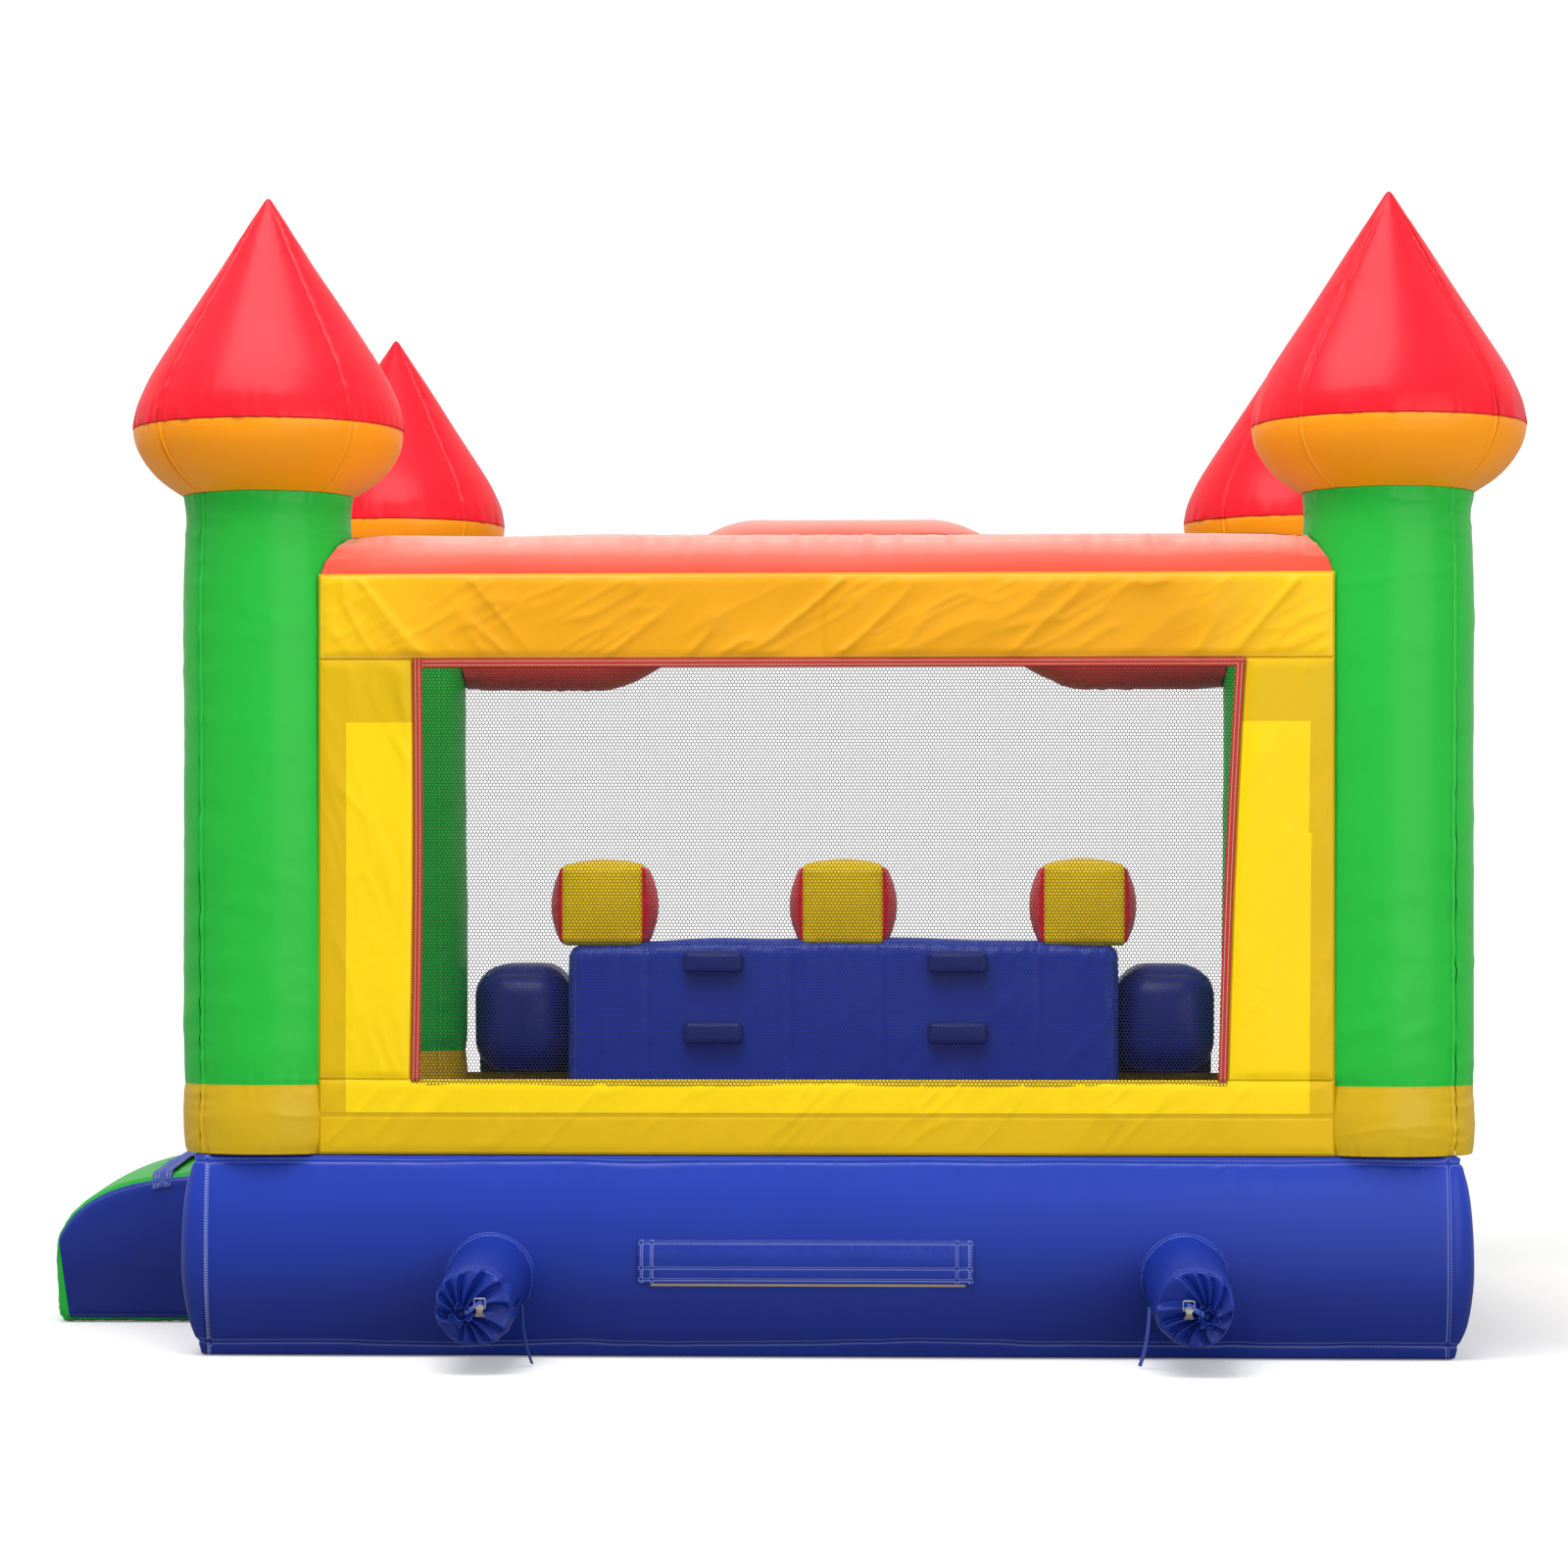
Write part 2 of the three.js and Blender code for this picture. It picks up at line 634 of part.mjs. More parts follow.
// A cam buckle: a steel loop with two ears that carry the pin of a thumb lever
function makeBuckle(side, parent, x, y, z) {
  const buckle = new THREE.Group();
  buckle.position.set(x, y, z);
  parent.add(buckle);
  const half = BUCKLE_WIDE / 2;
  const bar = BUCKLE_BAR;
  const pinY = -bar - 3;
  const pinZ = -3;
  const loop = toSolid(block([-half, -bar, BUCKLE_FOOT], [half, 0, SLOT_TOP + bar]));
  const slot = toSolid(block([bar - half, -bar - 1, SLOT_FOOT], [half - bar, 1, SLOT_TOP]));
  const ears = [-1, 1].map((s) => {
    const inner = s * (half - bar + 1);
    const outer = s * half;
    return toSolid(
      block(
        [Math.min(inner, outer), -bar - 7, BUCKLE_FOOT],
        [Math.max(inner, outer), 1 - bar, SLOT_FOOT],
      ),
    );
  });
  const bore = toSolid(rod([-half - 1, pinY, pinZ], [half + 1, pinY, pinZ], PIN_R + GAP, 12));
  const frame = loop.subtract(slot).add(ears[0]).add(ears[1]).subtract(bore);
  add(`buckle_frame_${side}`, toGeometry(frame), "steel", buckle);

  const reach = half - bar + 1 - 2 * GAP;
  const lever = new THREE.Shape();
  lever.moveTo(-reach, pinZ + PIN_R);
  lever.lineTo(reach, pinZ + PIN_R);
  lever.lineTo(reach, pinZ - 4);
  lever.quadraticCurveTo(reach * 0.45, pinZ - CAM_LONG * 0.5, reach * 0.95, pinZ - CAM_LONG);
  lever.lineTo(-reach * 0.95, pinZ - CAM_LONG);
  lever.quadraticCurveTo(-reach * 0.45, pinZ - CAM_LONG * 0.5, -reach, pinZ - 4);
  const thick = 4;
  const plate = new THREE.ExtrudeGeometry(lever, {
    depth: thick,
    bevelEnabled: false,
    curveSegments: 5,
  });
  acrossY(plate, pinY + thick / 2);
  const pin = rod([-half, pinY, pinZ], [half, pinY, pinZ], PIN_R, 12);
  add(`buckle_cam_${side}`, toGeometry(join([plate, pin])), "zinc", buckle);
}

// The flap hangs from a band along its top and leaves room for the zip behind it
function makeDeflationZip() {
  const face = -BASE_HALF - GAP;
  const front = face - FLAP_STANDOFF - FLAP_THICK;
  const outline = polygon([
    [front, FLAP_BOTTOM],
    [front + FLAP_THICK, FLAP_BOTTOM],
    [front + FLAP_THICK, FLAP_TOP - FLAP_BAND],
    [face, FLAP_TOP - FLAP_BAND],
    [face, FLAP_TOP],
    [front, FLAP_TOP],
  ]);
  const depth = FLAP_RIGHT - FLAP_LEFT;
  const flap = new THREE.ExtrudeGeometry(outline, { depth, bevelEnabled: false });
  add("deflation_flap", acrossX(flap, FLAP_LEFT), "blue");

  const back = face - GAP;
  const body = block([-12, back - 6, -8], [12, back, 8]);
  const pull = block([-34, back - 5, -4], [-11, back - 2.5, 4]);
  const slider = add("zip_slider", toGeometry(join([body, pull])), "zinc");
  slider.position.set(ZIP_X, 0, ZIP_Z);
}

makeMattress();
makeBaffles();
makeFloor();
makeTowers();
makeWindowWall("blower_wall", 0, ["left", "right"]);
makeWindowWall("window_wall", Math.PI / 2, ["near", "far"]);
makeEntranceWall("entrance_wall", -Math.PI / 2, ["far", "near"]);
makeSlideSide();
makeClimbingWall();
makeMerlons();
makeSteps();
makeSlide();
makeRamp();
makeTube("left", -1);
makeTube("right", 1);
makeDeflationZip();

export default house;
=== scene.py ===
import math

import bmesh
import bpy
import numpy as np
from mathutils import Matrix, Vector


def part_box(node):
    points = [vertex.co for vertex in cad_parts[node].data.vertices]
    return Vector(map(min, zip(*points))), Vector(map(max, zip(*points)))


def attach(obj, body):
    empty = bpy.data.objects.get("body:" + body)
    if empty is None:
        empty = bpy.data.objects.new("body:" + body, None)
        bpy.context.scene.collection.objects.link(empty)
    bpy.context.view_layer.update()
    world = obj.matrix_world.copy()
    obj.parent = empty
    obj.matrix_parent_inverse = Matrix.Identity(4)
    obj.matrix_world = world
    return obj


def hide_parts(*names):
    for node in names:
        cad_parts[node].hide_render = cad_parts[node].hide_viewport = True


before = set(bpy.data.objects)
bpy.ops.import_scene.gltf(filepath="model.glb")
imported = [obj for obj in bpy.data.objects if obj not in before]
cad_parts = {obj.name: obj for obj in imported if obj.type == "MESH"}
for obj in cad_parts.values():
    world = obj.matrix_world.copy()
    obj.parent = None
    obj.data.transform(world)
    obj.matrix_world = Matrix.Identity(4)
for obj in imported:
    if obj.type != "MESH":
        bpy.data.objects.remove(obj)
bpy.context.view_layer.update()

bl_info = {
    "name": "Castle Bounce House",
    "version": (1, 0, 0),
    "blender": (4, 5, 0),
    "location": "View3D > Sidebar > Bounce House",
    "description": "Builds an inflatable castle bounce house around its packed frame",
    "category": "Add Mesh",
}

TAU = 2 * math.pi
STANDING = 0.6206    # height the walls, towers and climbing wall stand on
LINE_POINTS = 400    # points a profile line is resampled to


# ---------------------------------------------------------------- shapes

def smooth(x):
    """Smoothstep: 3x^2 - 2x^3 with x held between 0 and 1."""
    x = np.clip(x, 0, 1)
    return x * x * (3 - 2 * x)


def noise(x, y, seed):
    """Smooth noise from -1 to 1: seeded random values on a lattice, blended by smoothstep."""
    table = np.random.default_rng(seed).uniform(-1, 1, (64, 64))
    x, y = np.broadcast_arrays(np.asarray(x, float), np.asarray(y, float))
    i, j = np.floor(x).astype(int), np.floor(y).astype(int)
    u, v = smooth(x - i), smooth(y - j)
    near = table[i % 64, j % 64] * (1 - u) + table[(i + 1) % 64, j % 64] * u
    far = table[i % 64, (j + 1) % 64] * (1 - u) + table[(i + 1) % 64, (j + 1) % 64] * u
    return near * (1 - v) + far * v


def puckers(along, away, seed, pitch=0.022, reach=0.07, depth=0.004):
    """Gathers at a stitched edge: |noise| folds across the seam, each dying off away from it
    over its own length, so the cloth is pinched where the noise crosses zero."""
    fold = np.abs(noise(along / pitch, away / (reach * 3) + 3.1, seed))
    own = reach * (0.6 + 0.5 * noise(along / (pitch * 2.7), 5.3, seed + 1))
    fade = np.exp(-(np.maximum(away, 0) / np.maximum(own, reach * 0.15)) ** 1.3)
    return depth * (fold - 0.45) * fade * (away >= 0)


def creases(a, b, seed, pitch, angle, depth, stretch=5.0):
    """Pulled folds: thin ridges of 1 - |noise| on axes turned by angle and drawn out along it."""
    c, s = math.cos(angle), math.sin(angle)
    along, across = (a * c + b * s) / (pitch * stretch), (b * c - a * s) / pitch
    bend = 0.5 * noise(along * 1.3, across * 0.3, seed + 7)
    ridge = 1 - np.abs(noise(along, across + bend, seed))
    return depth * ridge ** 4 * smooth(0.5 + noise(along * 0.7, across * 0.5, seed + 3))


def groove(distance, width=0.004, depth=0.0035):
    """A stitched groove: a bell-shaped dip at distance 0."""
    return -depth * np.exp(-(distance / width) ** 2)


def curve_through(points, count):
    """Points through the given ones: a Catmull-Rom curve, evenly spaced by its own length."""
    p = np.asarray(points, float)
    q = np.vstack([2 * p[0] - p[1], p, 2 * p[-1] - p[-2]])
    t = np.linspace(0, len(p) - 1, count * 8)
    i = np.minimum(t.astype(int), len(p) - 2)
    f = (t - i)[:, None]
    a, b, c, d = q[i], q[i + 1], q[i + 2], q[i + 3]
    line = 0.5 * (2 * b + (c - a) * f + (2 * a - 5 * b + 4 * c - d) * f**2
                  + (3 * b - 3 * c + d - a) * f**3)
    return resample(line, count)


def resample(line, count, at=None):
    """The same line with count points at even lengths, or at the given shares of its length."""
    gaps = np.linalg.norm(np.diff(line, axis=0), axis=1)
    length = np.concatenate([[0], np.cumsum(gaps)])
    at = np.linspace(0, 1, count) if at is None else at
    return np.stack([np.interp(at * length[-1], length, line[:, k])
                     for k in range(line.shape[1])], -1)


def dense_near(places, count, width, strength=3.0):
    """Shares from 0 to 1 that lie closer together near the given places."""
    t = np.linspace(0, 1, 2000)
    weight = 1 + sum(strength * np.exp(-((t - p) / width) ** 2) for p in places)
    total = np.concatenate([[0], np.cumsum((weight[1:] + weight[:-1]) / 2)])
    return np.interp(np.linspace(0, total[-1], count), total, t)


def grid(points, cloth=None, seam=None, slot=0, flip=False):
    """One patch: a grid of points with its cloth map in metres and its seam map, which holds
    the distance along and away from the nearest stitched line."""
    points = np.asarray(points, float)
    if cloth is None:
        down = np.linalg.norm(np.diff(points, axis=0), axis=2).mean(1)
        over = np.linalg.norm(np.diff(points, axis=1), axis=2).mean(0)
        rows = np.concatenate([[0], np.cumsum(down)])
        columns = np.concatenate([[0], np.cumsum(over)])
        cloth = np.stack(np.meshgrid(rows, columns, indexing="ij"), -1)
    if seam is None:
        seam = np.stack([cloth[..., 0], np.full(cloth.shape[:2], 1.0)], -1)
    return {"points": points, "cloth": cloth, "seam": seam, "slot": slot, "flip": flip}


def build(name, patches, materials, body="house", stands_for=(), thick=0.0,
          outward=True):
    """All patches as one smooth mesh. Each grid gives quads between its rows and columns,
    touching rims are welded, and a closed shell has its faces turned outwards."""
    start, points, quads, cloth, seam, slots = 0, [], [], [], [], []
    for p in patches:
        rows, columns = p["points"].shape[:2]
        index = np.arange(rows * columns).reshape(rows, columns) + start
        four = [index[:-1, :-1], index[1:, :-1], index[1:, 1:], index[:-1, 1:]]
        quad = np.stack(four[::-1] if p["flip"] else four, -1).reshape(-1, 4)
        quads.append(quad)
        points.append(p["points"].reshape(-1, 3))
        cloth.append(p["cloth"].reshape(-1, 2))
        seam.append(p["seam"].reshape(-1, 2))
        which = np.broadcast_to(p["slot"], (rows - 1, columns - 1))
        slots.append(which.reshape(-1))
        start += rows * columns
    points, quads, slots = np.vstack(points), np.vstack(quads), np.concatenate(slots)
    mesh = bpy.data.meshes.new(name)
    mesh.vertices.add(len(points))
    mesh.vertices.foreach_set("co", points.astype(np.float32).ravel())
    mesh.loops.add(quads.size)
    mesh.loops.foreach_set("vertex_index", quads.astype(np.int32).ravel())
    mesh.polygons.add(len(quads))
    mesh.polygons.foreach_set("loop_start", np.arange(0, quads.size, 4, dtype=np.int32))
    mesh.polygons.foreach_set("material_index", slots.astype(np.int32))
    for key, values in (("cloth", cloth), ("seam", seam)):
        layer = mesh.uv_layers.new(name=key)
        layer.data.foreach_set("uv", np.vstack(values)[quads.ravel()].astype(np.float32).ravel())
    mesh.update(calc_edges=True)
    work = bmesh.new()
    work.from_mesh(mesh)
    bmesh.ops.remove_doubles(work, verts=work.verts, dist=2e-5)
    if outward:
        bmesh.ops.recalc_face_normals(work, faces=work.faces)
    work.to_mesh(mesh)
    work.free()
    mesh.shade_smooth()
    for material in materials:
        mesh.materials.append(material)
    piece = bpy.data.objects.new(name, mesh)
    bpy.context.scene.collection.objects.link(piece)
    if thick:
        solid = piece.modifiers.new("Cloth thickness", "SOLIDIFY")
        solid.thickness = thick
        solid.offset = 0
    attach(piece, body)
    for node in stands_for:
        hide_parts(node)
    return piece


def inflated(bottom, top, half, bulge=0.03, rim=0.05, crown=(0.01, 0.02), counts=(60, 30, 40),
             side_slot=1, seed=1, pucker=0.004, wrinkle=0.002):
    """An air-filled prism between a bottom and a top line in (Y, Z), carried across X from
    -half to half. A box of length, height and width is rounded by rim, its faces are crowned
    by (1 - a^2)(1 - b^2) but for the one it rests on, its edges are gathered by puckers, and
    the box is then laid between the two lines. Returns six patches, the last two being the
    ends in X, which take side_slot."""
    n_long, n_high, n_wide = counts
    low, high = (resample(np.asarray(line, float), LINE_POINTS) for line in (bottom, top))
    knots = np.linspace(0, 1, LINE_POINTS)
    gap = np.maximum(np.linalg.norm(high - low, axis=1), 0.02)
    middle = (low + high) / 2
    length = np.linalg.norm(np.diff(middle, axis=0), axis=1).sum()

    def axis(count, size):
        share = min(0.2, rim / size)
        return 2 * dense_near([0, 1], count, share * 1.2, 4) - 1

    along, up, across = axis(n_long, length), axis(n_high, gap.mean()), axis(n_wide, 2 * half)
    faces = []
    for fixed, sign in ((0, -1), (0, 1), (1, -1), (1, 1), (2, -1), (2, 1)):
        lines = [along, up, across]
        one, two = [k for k in range(3) if k != fixed]
        first, second = np.meshgrid(lines[one], lines[two], indexing="ij")
        box = np.zeros(first.shape + (3,))
        box[..., one], box[..., two], box[..., fixed] = first, second, sign
        share = (box[..., 0] + 1) / 2
        sizes = np.stack([np.full(share.shape, length / 2),
                          np.interp(share, knots, gap) / 2,
                          np.full(share.shape, half)], -1)
        place = box * sizes
        inner = np.clip(place, rim - sizes, sizes - rim)
        away = place - inner
        normal = away / np.maximum(np.linalg.norm(away, axis=-1, keepdims=True), 1e-9)
        place = inner + normal * rim
        flat = (1 - first**2) * (1 - second**2)
        resting = (fixed, sign) == (1, -1)
        lift = 0 if resting else (bulge if fixed == 2 else crown[fixed]) * flat
        edge_one = (1 - np.abs(first)) * sizes[..., one]
        edge_two = (1 - np.abs(second)) * sizes[..., two]
        fold = puckers(place[..., two], edge_one, seed + fixed, 0.025, 0.08, pucker)
        fold = fold + puckers(place[..., one], edge_two, seed + 9 + fixed, 0.025, 0.08, pucker)
        soft = wrinkle * noise(place[..., one] * 4, place[..., two] * 4, seed + 20 + fixed)
        rim_fade = smooth(np.minimum(edge_one, edge_two) / 0.02)
        place = place + normal * (lift + (fold + soft * flat) * rim_fade)[..., None]
        t = np.clip((place[..., 0] / (length / 2) + 1) / 2, -0.2, 1.2)
        h = (place[..., 1] / sizes[..., 1] + 1) / 2

        def at(line):
            inside = np.clip(t, 0, 1)
            spot = np.stack([np.interp(inside, knots, line[:, k]) for k in (0, 1)], -1)
            start, end = line[1] - line[0], line[-1] - line[-2]
            tangent = np.where((t < 0)[..., None], start, end)
            tangent = tangent / np.linalg.norm(tangent, axis=-1, keepdims=True)
            return spot + tangent * ((t - inside) * length)[..., None]

        yz = at(low) * (1 - h[..., None]) + at(high) * h[..., None]
        points = np.concatenate([place[..., 2:], yz], -1)
        cloth = np.stack([place[..., one], place[..., two]], -1)
        seam = np.stack([np.where(edge_one < edge_two, place[..., two], place[..., one]),
                         np.minimum(edge_one, edge_two) - rim * 0.35], -1)
        faces.append(grid(points, cloth, seam, side_slot if fixed == 2 else 0))
    return faces


def shifted(faces, x):
    """The patches moved along X."""
    for face in faces:
        face["points"][..., 0] += x
    return faces


def lid(rim, centre, count=2):
    """A fan of rings that closes a rim towards a centre."""
    return grid(centre + (rim - centre) * np.linspace(1, 0, count)[:, None, None])


def lattice(x0, x1, nx, y0, y1, ny):
    """Two arrays of places on an even lattice, the first axis running from x0 to x1."""
    return np.meshgrid(np.linspace(x0, x1, nx), np.linspace(y0, y1, ny), indexing="ij")


def turn(points, quarters):
    """The points turned about Z by that many quarter turns."""
    c, s = round(math.cos(quarters * math.pi / 2)), round(math.sin(quarters * math.pi / 2))
    return np.stack([points[..., 0] * c - points[..., 1] * s,
                     points[..., 0] * s + points[..., 1] * c, points[..., 2]], -1)


def swept(line, radius, sides=16, closed=False, wide=None):
    """A round or flat rod: a ring of that radius (or wide by radius) carried along a line."""
    line = np.asarray(line, float)
    ahead = np.roll(line, -1, 0) - np.roll(line, 1, 0)
    if not closed:
        ahead[0], ahead[-1] = line[1] - line[0], line[-1] - line[-2]
    ahead /= np.linalg.norm(ahead, axis=1, keepdims=True)
    reference = np.array([0.0, 0.0, 1.0])
    if abs(ahead @ reference).max() > 0.97:
        reference = np.array([0.0, 1.0, 0.0])
    side = np.cross(ahead, reference)
    side /= np.linalg.norm(side, axis=1, keepdims=True)
    up = np.cross(side, ahead)
    angle = np.linspace(0, TAU, sides + 1)
    width = radius if wide is None else wide
    rings = (line[:, None] + width * np.cos(angle)[None, :, None] * side[:, None]
             + radius * np.sin(angle)[None, :, None] * up[:, None])
    if closed:
        return [grid(np.concatenate([rings, rings[:1]]))]
    caps = [grid(np.stack([np.broadcast_to(line[k], rings[k].shape), rings[k]]))
            for k in (0, -1)]
    return [grid(rings), *caps]


# ---------------------------------------------------------------- finishes

class Nodes:
    """A short way to place nodes and join them in one node tree."""

    def __init__(self, tree):
        self.tree = tree

    def add(self, kind, settings=None, **inputs):
        node = self.tree.nodes.new(kind)
        for key, value in (settings or {}).items():
            setattr(node, key, value)
        for key, value in inputs.items():
            name = key.replace("_", " ") if not key.startswith("i") else int(key[1:])
            self.set(node.inputs[name], value)
        return node

    def set(self, socket, value):
        if isinstance(value, bpy.types.NodeSocket):
            self.tree.links.new(value, socket)
        else:
            socket.default_value = value

    def math(self, operation, a, b=0.0, c=0.0, clamp=False):
        node = self.tree.nodes.new("ShaderNodeMath")
        node.operation, node.use_clamp = operation, clamp
        for socket, value in zip(node.inputs, (a, b, c)):
            self.set(socket, value)
        return node.outputs[0]

    def mix(self, amount, a, b):
        node = self.tree.nodes.new("ShaderNodeMix")
        node.data_type = "RGBA"
        self.set(node.inputs[0], amount)
        self.set(node.inputs[6], a)
        self.set(node.inputs[7], b)
        return node.outputs[2]


def new_group(name, inputs, outputs):
    """An empty node group with named input and output sockets."""
    group = bpy.data.node_groups.new(name, "ShaderNodeTree")
    for label, (kind, value) in inputs.items():
        socket = group.interface.new_socket(label, in_out="INPUT", socket_type=kind)
        if value is not None:
            socket.default_value = value
    for label, kind in outputs.items():
        group.interface.new_socket(label, in_out="OUTPUT", socket_type=kind)
    n = Nodes(group)
    return group, n, n.add("NodeGroupInput").outputs, n.add("NodeGroupOutput").inputs


FLOAT, VECTOR = "NodeSocketFloat", "NodeSocketVector"


def coated_cloth_group():
    """Coated cloth: a fine plain weave under a slightly uneven coat, with soft handling
    creases. Gives a tone mask, a gloss mask and a height."""
    group, n, given, out = new_group(
        "Coated cloth",
        {"Map": (VECTOR, None), "Place": (VECTOR, None), "Weave": (FLOAT, 900.0)},
        {"Tone": FLOAT, "Gloss": FLOAT, "Height": FLOAT})
    split = n.add("ShaderNodeSeparateXYZ", i0=given["Map"])
    waves = [n.math("SINE", n.math("MULTIPLY", split.outputs[axis], given["Weave"]))
             for axis in (0, 1)]
    weave = n.math("MULTIPLY", *waves)

    def clouds(scale, detail, **settings):
        return n.add("ShaderNodeTexNoise", settings, Vector=given["Place"], Scale=scale,
                     Detail=detail).outputs["Fac"]

    broad, fine = clouds(3.2, 3.0), clouds(38.0, 2.0)
    sharp = n.math("POWER", clouds(7.0, 3.0, noise_type="RIDGED_MULTIFRACTAL"), 3.0)
    n.set(out["Tone"], n.math("MULTIPLY_ADD", broad, 0.7, n.math("MULTIPLY", fine, 0.3)))
    n.set(out["Gloss"], n.math("MULTIPLY_ADD", fine, 0.5, n.math("MULTIPLY", broad, 0.5)))
    height = n.math("MULTIPLY_ADD", weave, 0.05, n.math("MULTIPLY", sharp, 0.25))
    n.set(out["Height"], n.math("ADD", height, n.math("MULTIPLY", fine, 0.35)))
    return group


def stitch_group():
    """Two rows of lockstitch beside a seam: dashes along the seam map's first axis, at Offset
    on either side of its zero line. Gives the thread mask and the pressed-in seam line."""
    group, n, given, out = new_group(
        "Stitch rows",
        {"Seam": (VECTOR, None), "Offset": (FLOAT, 0.006), "Width": (FLOAT, 0.0011),
         "Pitch": (FLOAT, 0.008)},
        {"Thread": FLOAT, "Line": FLOAT})
    split = n.add("ShaderNodeSeparateXYZ", i0=given["Seam"])
    side = n.math("ABSOLUTE", split.outputs[1])
    off = n.math("ABSOLUTE", n.math("SUBTRACT", side, given["Offset"]))
    row = n.math("LESS_THAN", off, given["Width"])
    turns = n.math("FRACT", n.math("DIVIDE", split.outputs[0], given["Pitch"]))
    n.set(out["Thread"], n.math("MULTIPLY", row, n.math("LESS_THAN", turns, 0.68)))
    n.set(out["Line"], n.math("SUBTRACT", 1.0, n.math("DIVIDE", side, 0.0035), clamp=True))
    return group


def webbing_group():
    """Woven webbing: a narrow herringbone of two slanted ribs, as a height and a tone."""
    group, n, given, out = new_group(
        "Webbing weave", {"Map": (VECTOR, None), "Ribs": (FLOAT, 1500.0)},
        {"Tone": FLOAT, "Height": FLOAT})
    split = n.add("ShaderNodeSeparateXYZ", i0=given["Map"])
    slant = n.math("PINGPONG", split.outputs[1], 0.004)
    wave = n.math("SINE", n.math("MULTIPLY", n.math("ADD", split.outputs[0], slant),
                                 given["Ribs"]))
    n.set(out["Height"], wave)
    n.set(out["Tone"], n.math("MULTIPLY_ADD", wave, 0.5, 0.5))
    return group


def net_group():
    """Knotless net: round holes on a staggered lattice. Gives 1 on the strands, 0 in holes."""
    group, n, given, out = new_group(
        "Net holes",
        {"Map": (VECTOR, None), "Pitch": (FLOAT, 0.011), "Radius": (FLOAT, 0.43)},
        {"Strand": FLOAT})
    split = n.add("ShaderNodeSeparateXYZ", i0=given["Map"])
    across = n.math("DIVIDE", split.outputs[0], given["Pitch"])
    up = n.math("DIVIDE", split.outputs[1], n.math("MULTIPLY", given["Pitch"], 1.732))
    holes = []
    for shift in (0.0, 0.5):
        dx = n.math("SUBTRACT", n.math("FRACT", n.math("ADD", across, shift)), 0.5)
        dy = n.math("SUBTRACT", n.math("FRACT", n.math("ADD", up, shift)), 0.5)
        dy = n.math("MULTIPLY", dy, 1.732)
        far = n.math("SQRT", n.math("ADD", n.math("MULTIPLY", dx, dx),
                                    n.math("MULTIPLY", dy, dy)))
        holes.append(n.math("GREATER_THAN", far, given["Radius"]))
    n.set(out["Strand"], n.math("MULTIPLY", holes[0], holes[1]))
    return group


def linear(hexcode):
    """A colour given as six hex digits, as linear values."""
    parts = [int(hexcode[k:k + 2], 16) / 255 for k in (0, 2, 4)]
    return tuple(p / 12.92 if p <= 0.04045 else ((p + 0.055) / 1.055) ** 2.4 for p in parts)


def paint(colour, share=1.0):
    """A colour darkened to a share of itself, with full alpha."""
    return (*[c * share for c in colour], 1)


def new_material(name):
    """An empty material with its node helper and its Principled shader."""
    material = bpy.data.materials.new(name)
    material.use_nodes = True
    return material, Nodes(material.node_tree), material.node_tree.nodes["Principled BSDF"]


def effect(n, make, name, **inputs):
    """One of the shared effect groups, placed with its inputs. UV maps are given by name."""
    group = bpy.data.node_groups.get(name) or make()
    placed = n.add("ShaderNodeGroup", {"node_tree": group})
    for key, value in inputs.items():
        if isinstance(value, str):
            value = n.add("ShaderNodeUVMap", {"uv_map": value}).outputs[0]
        n.set(placed.inputs[key], value)
    return placed.outputs


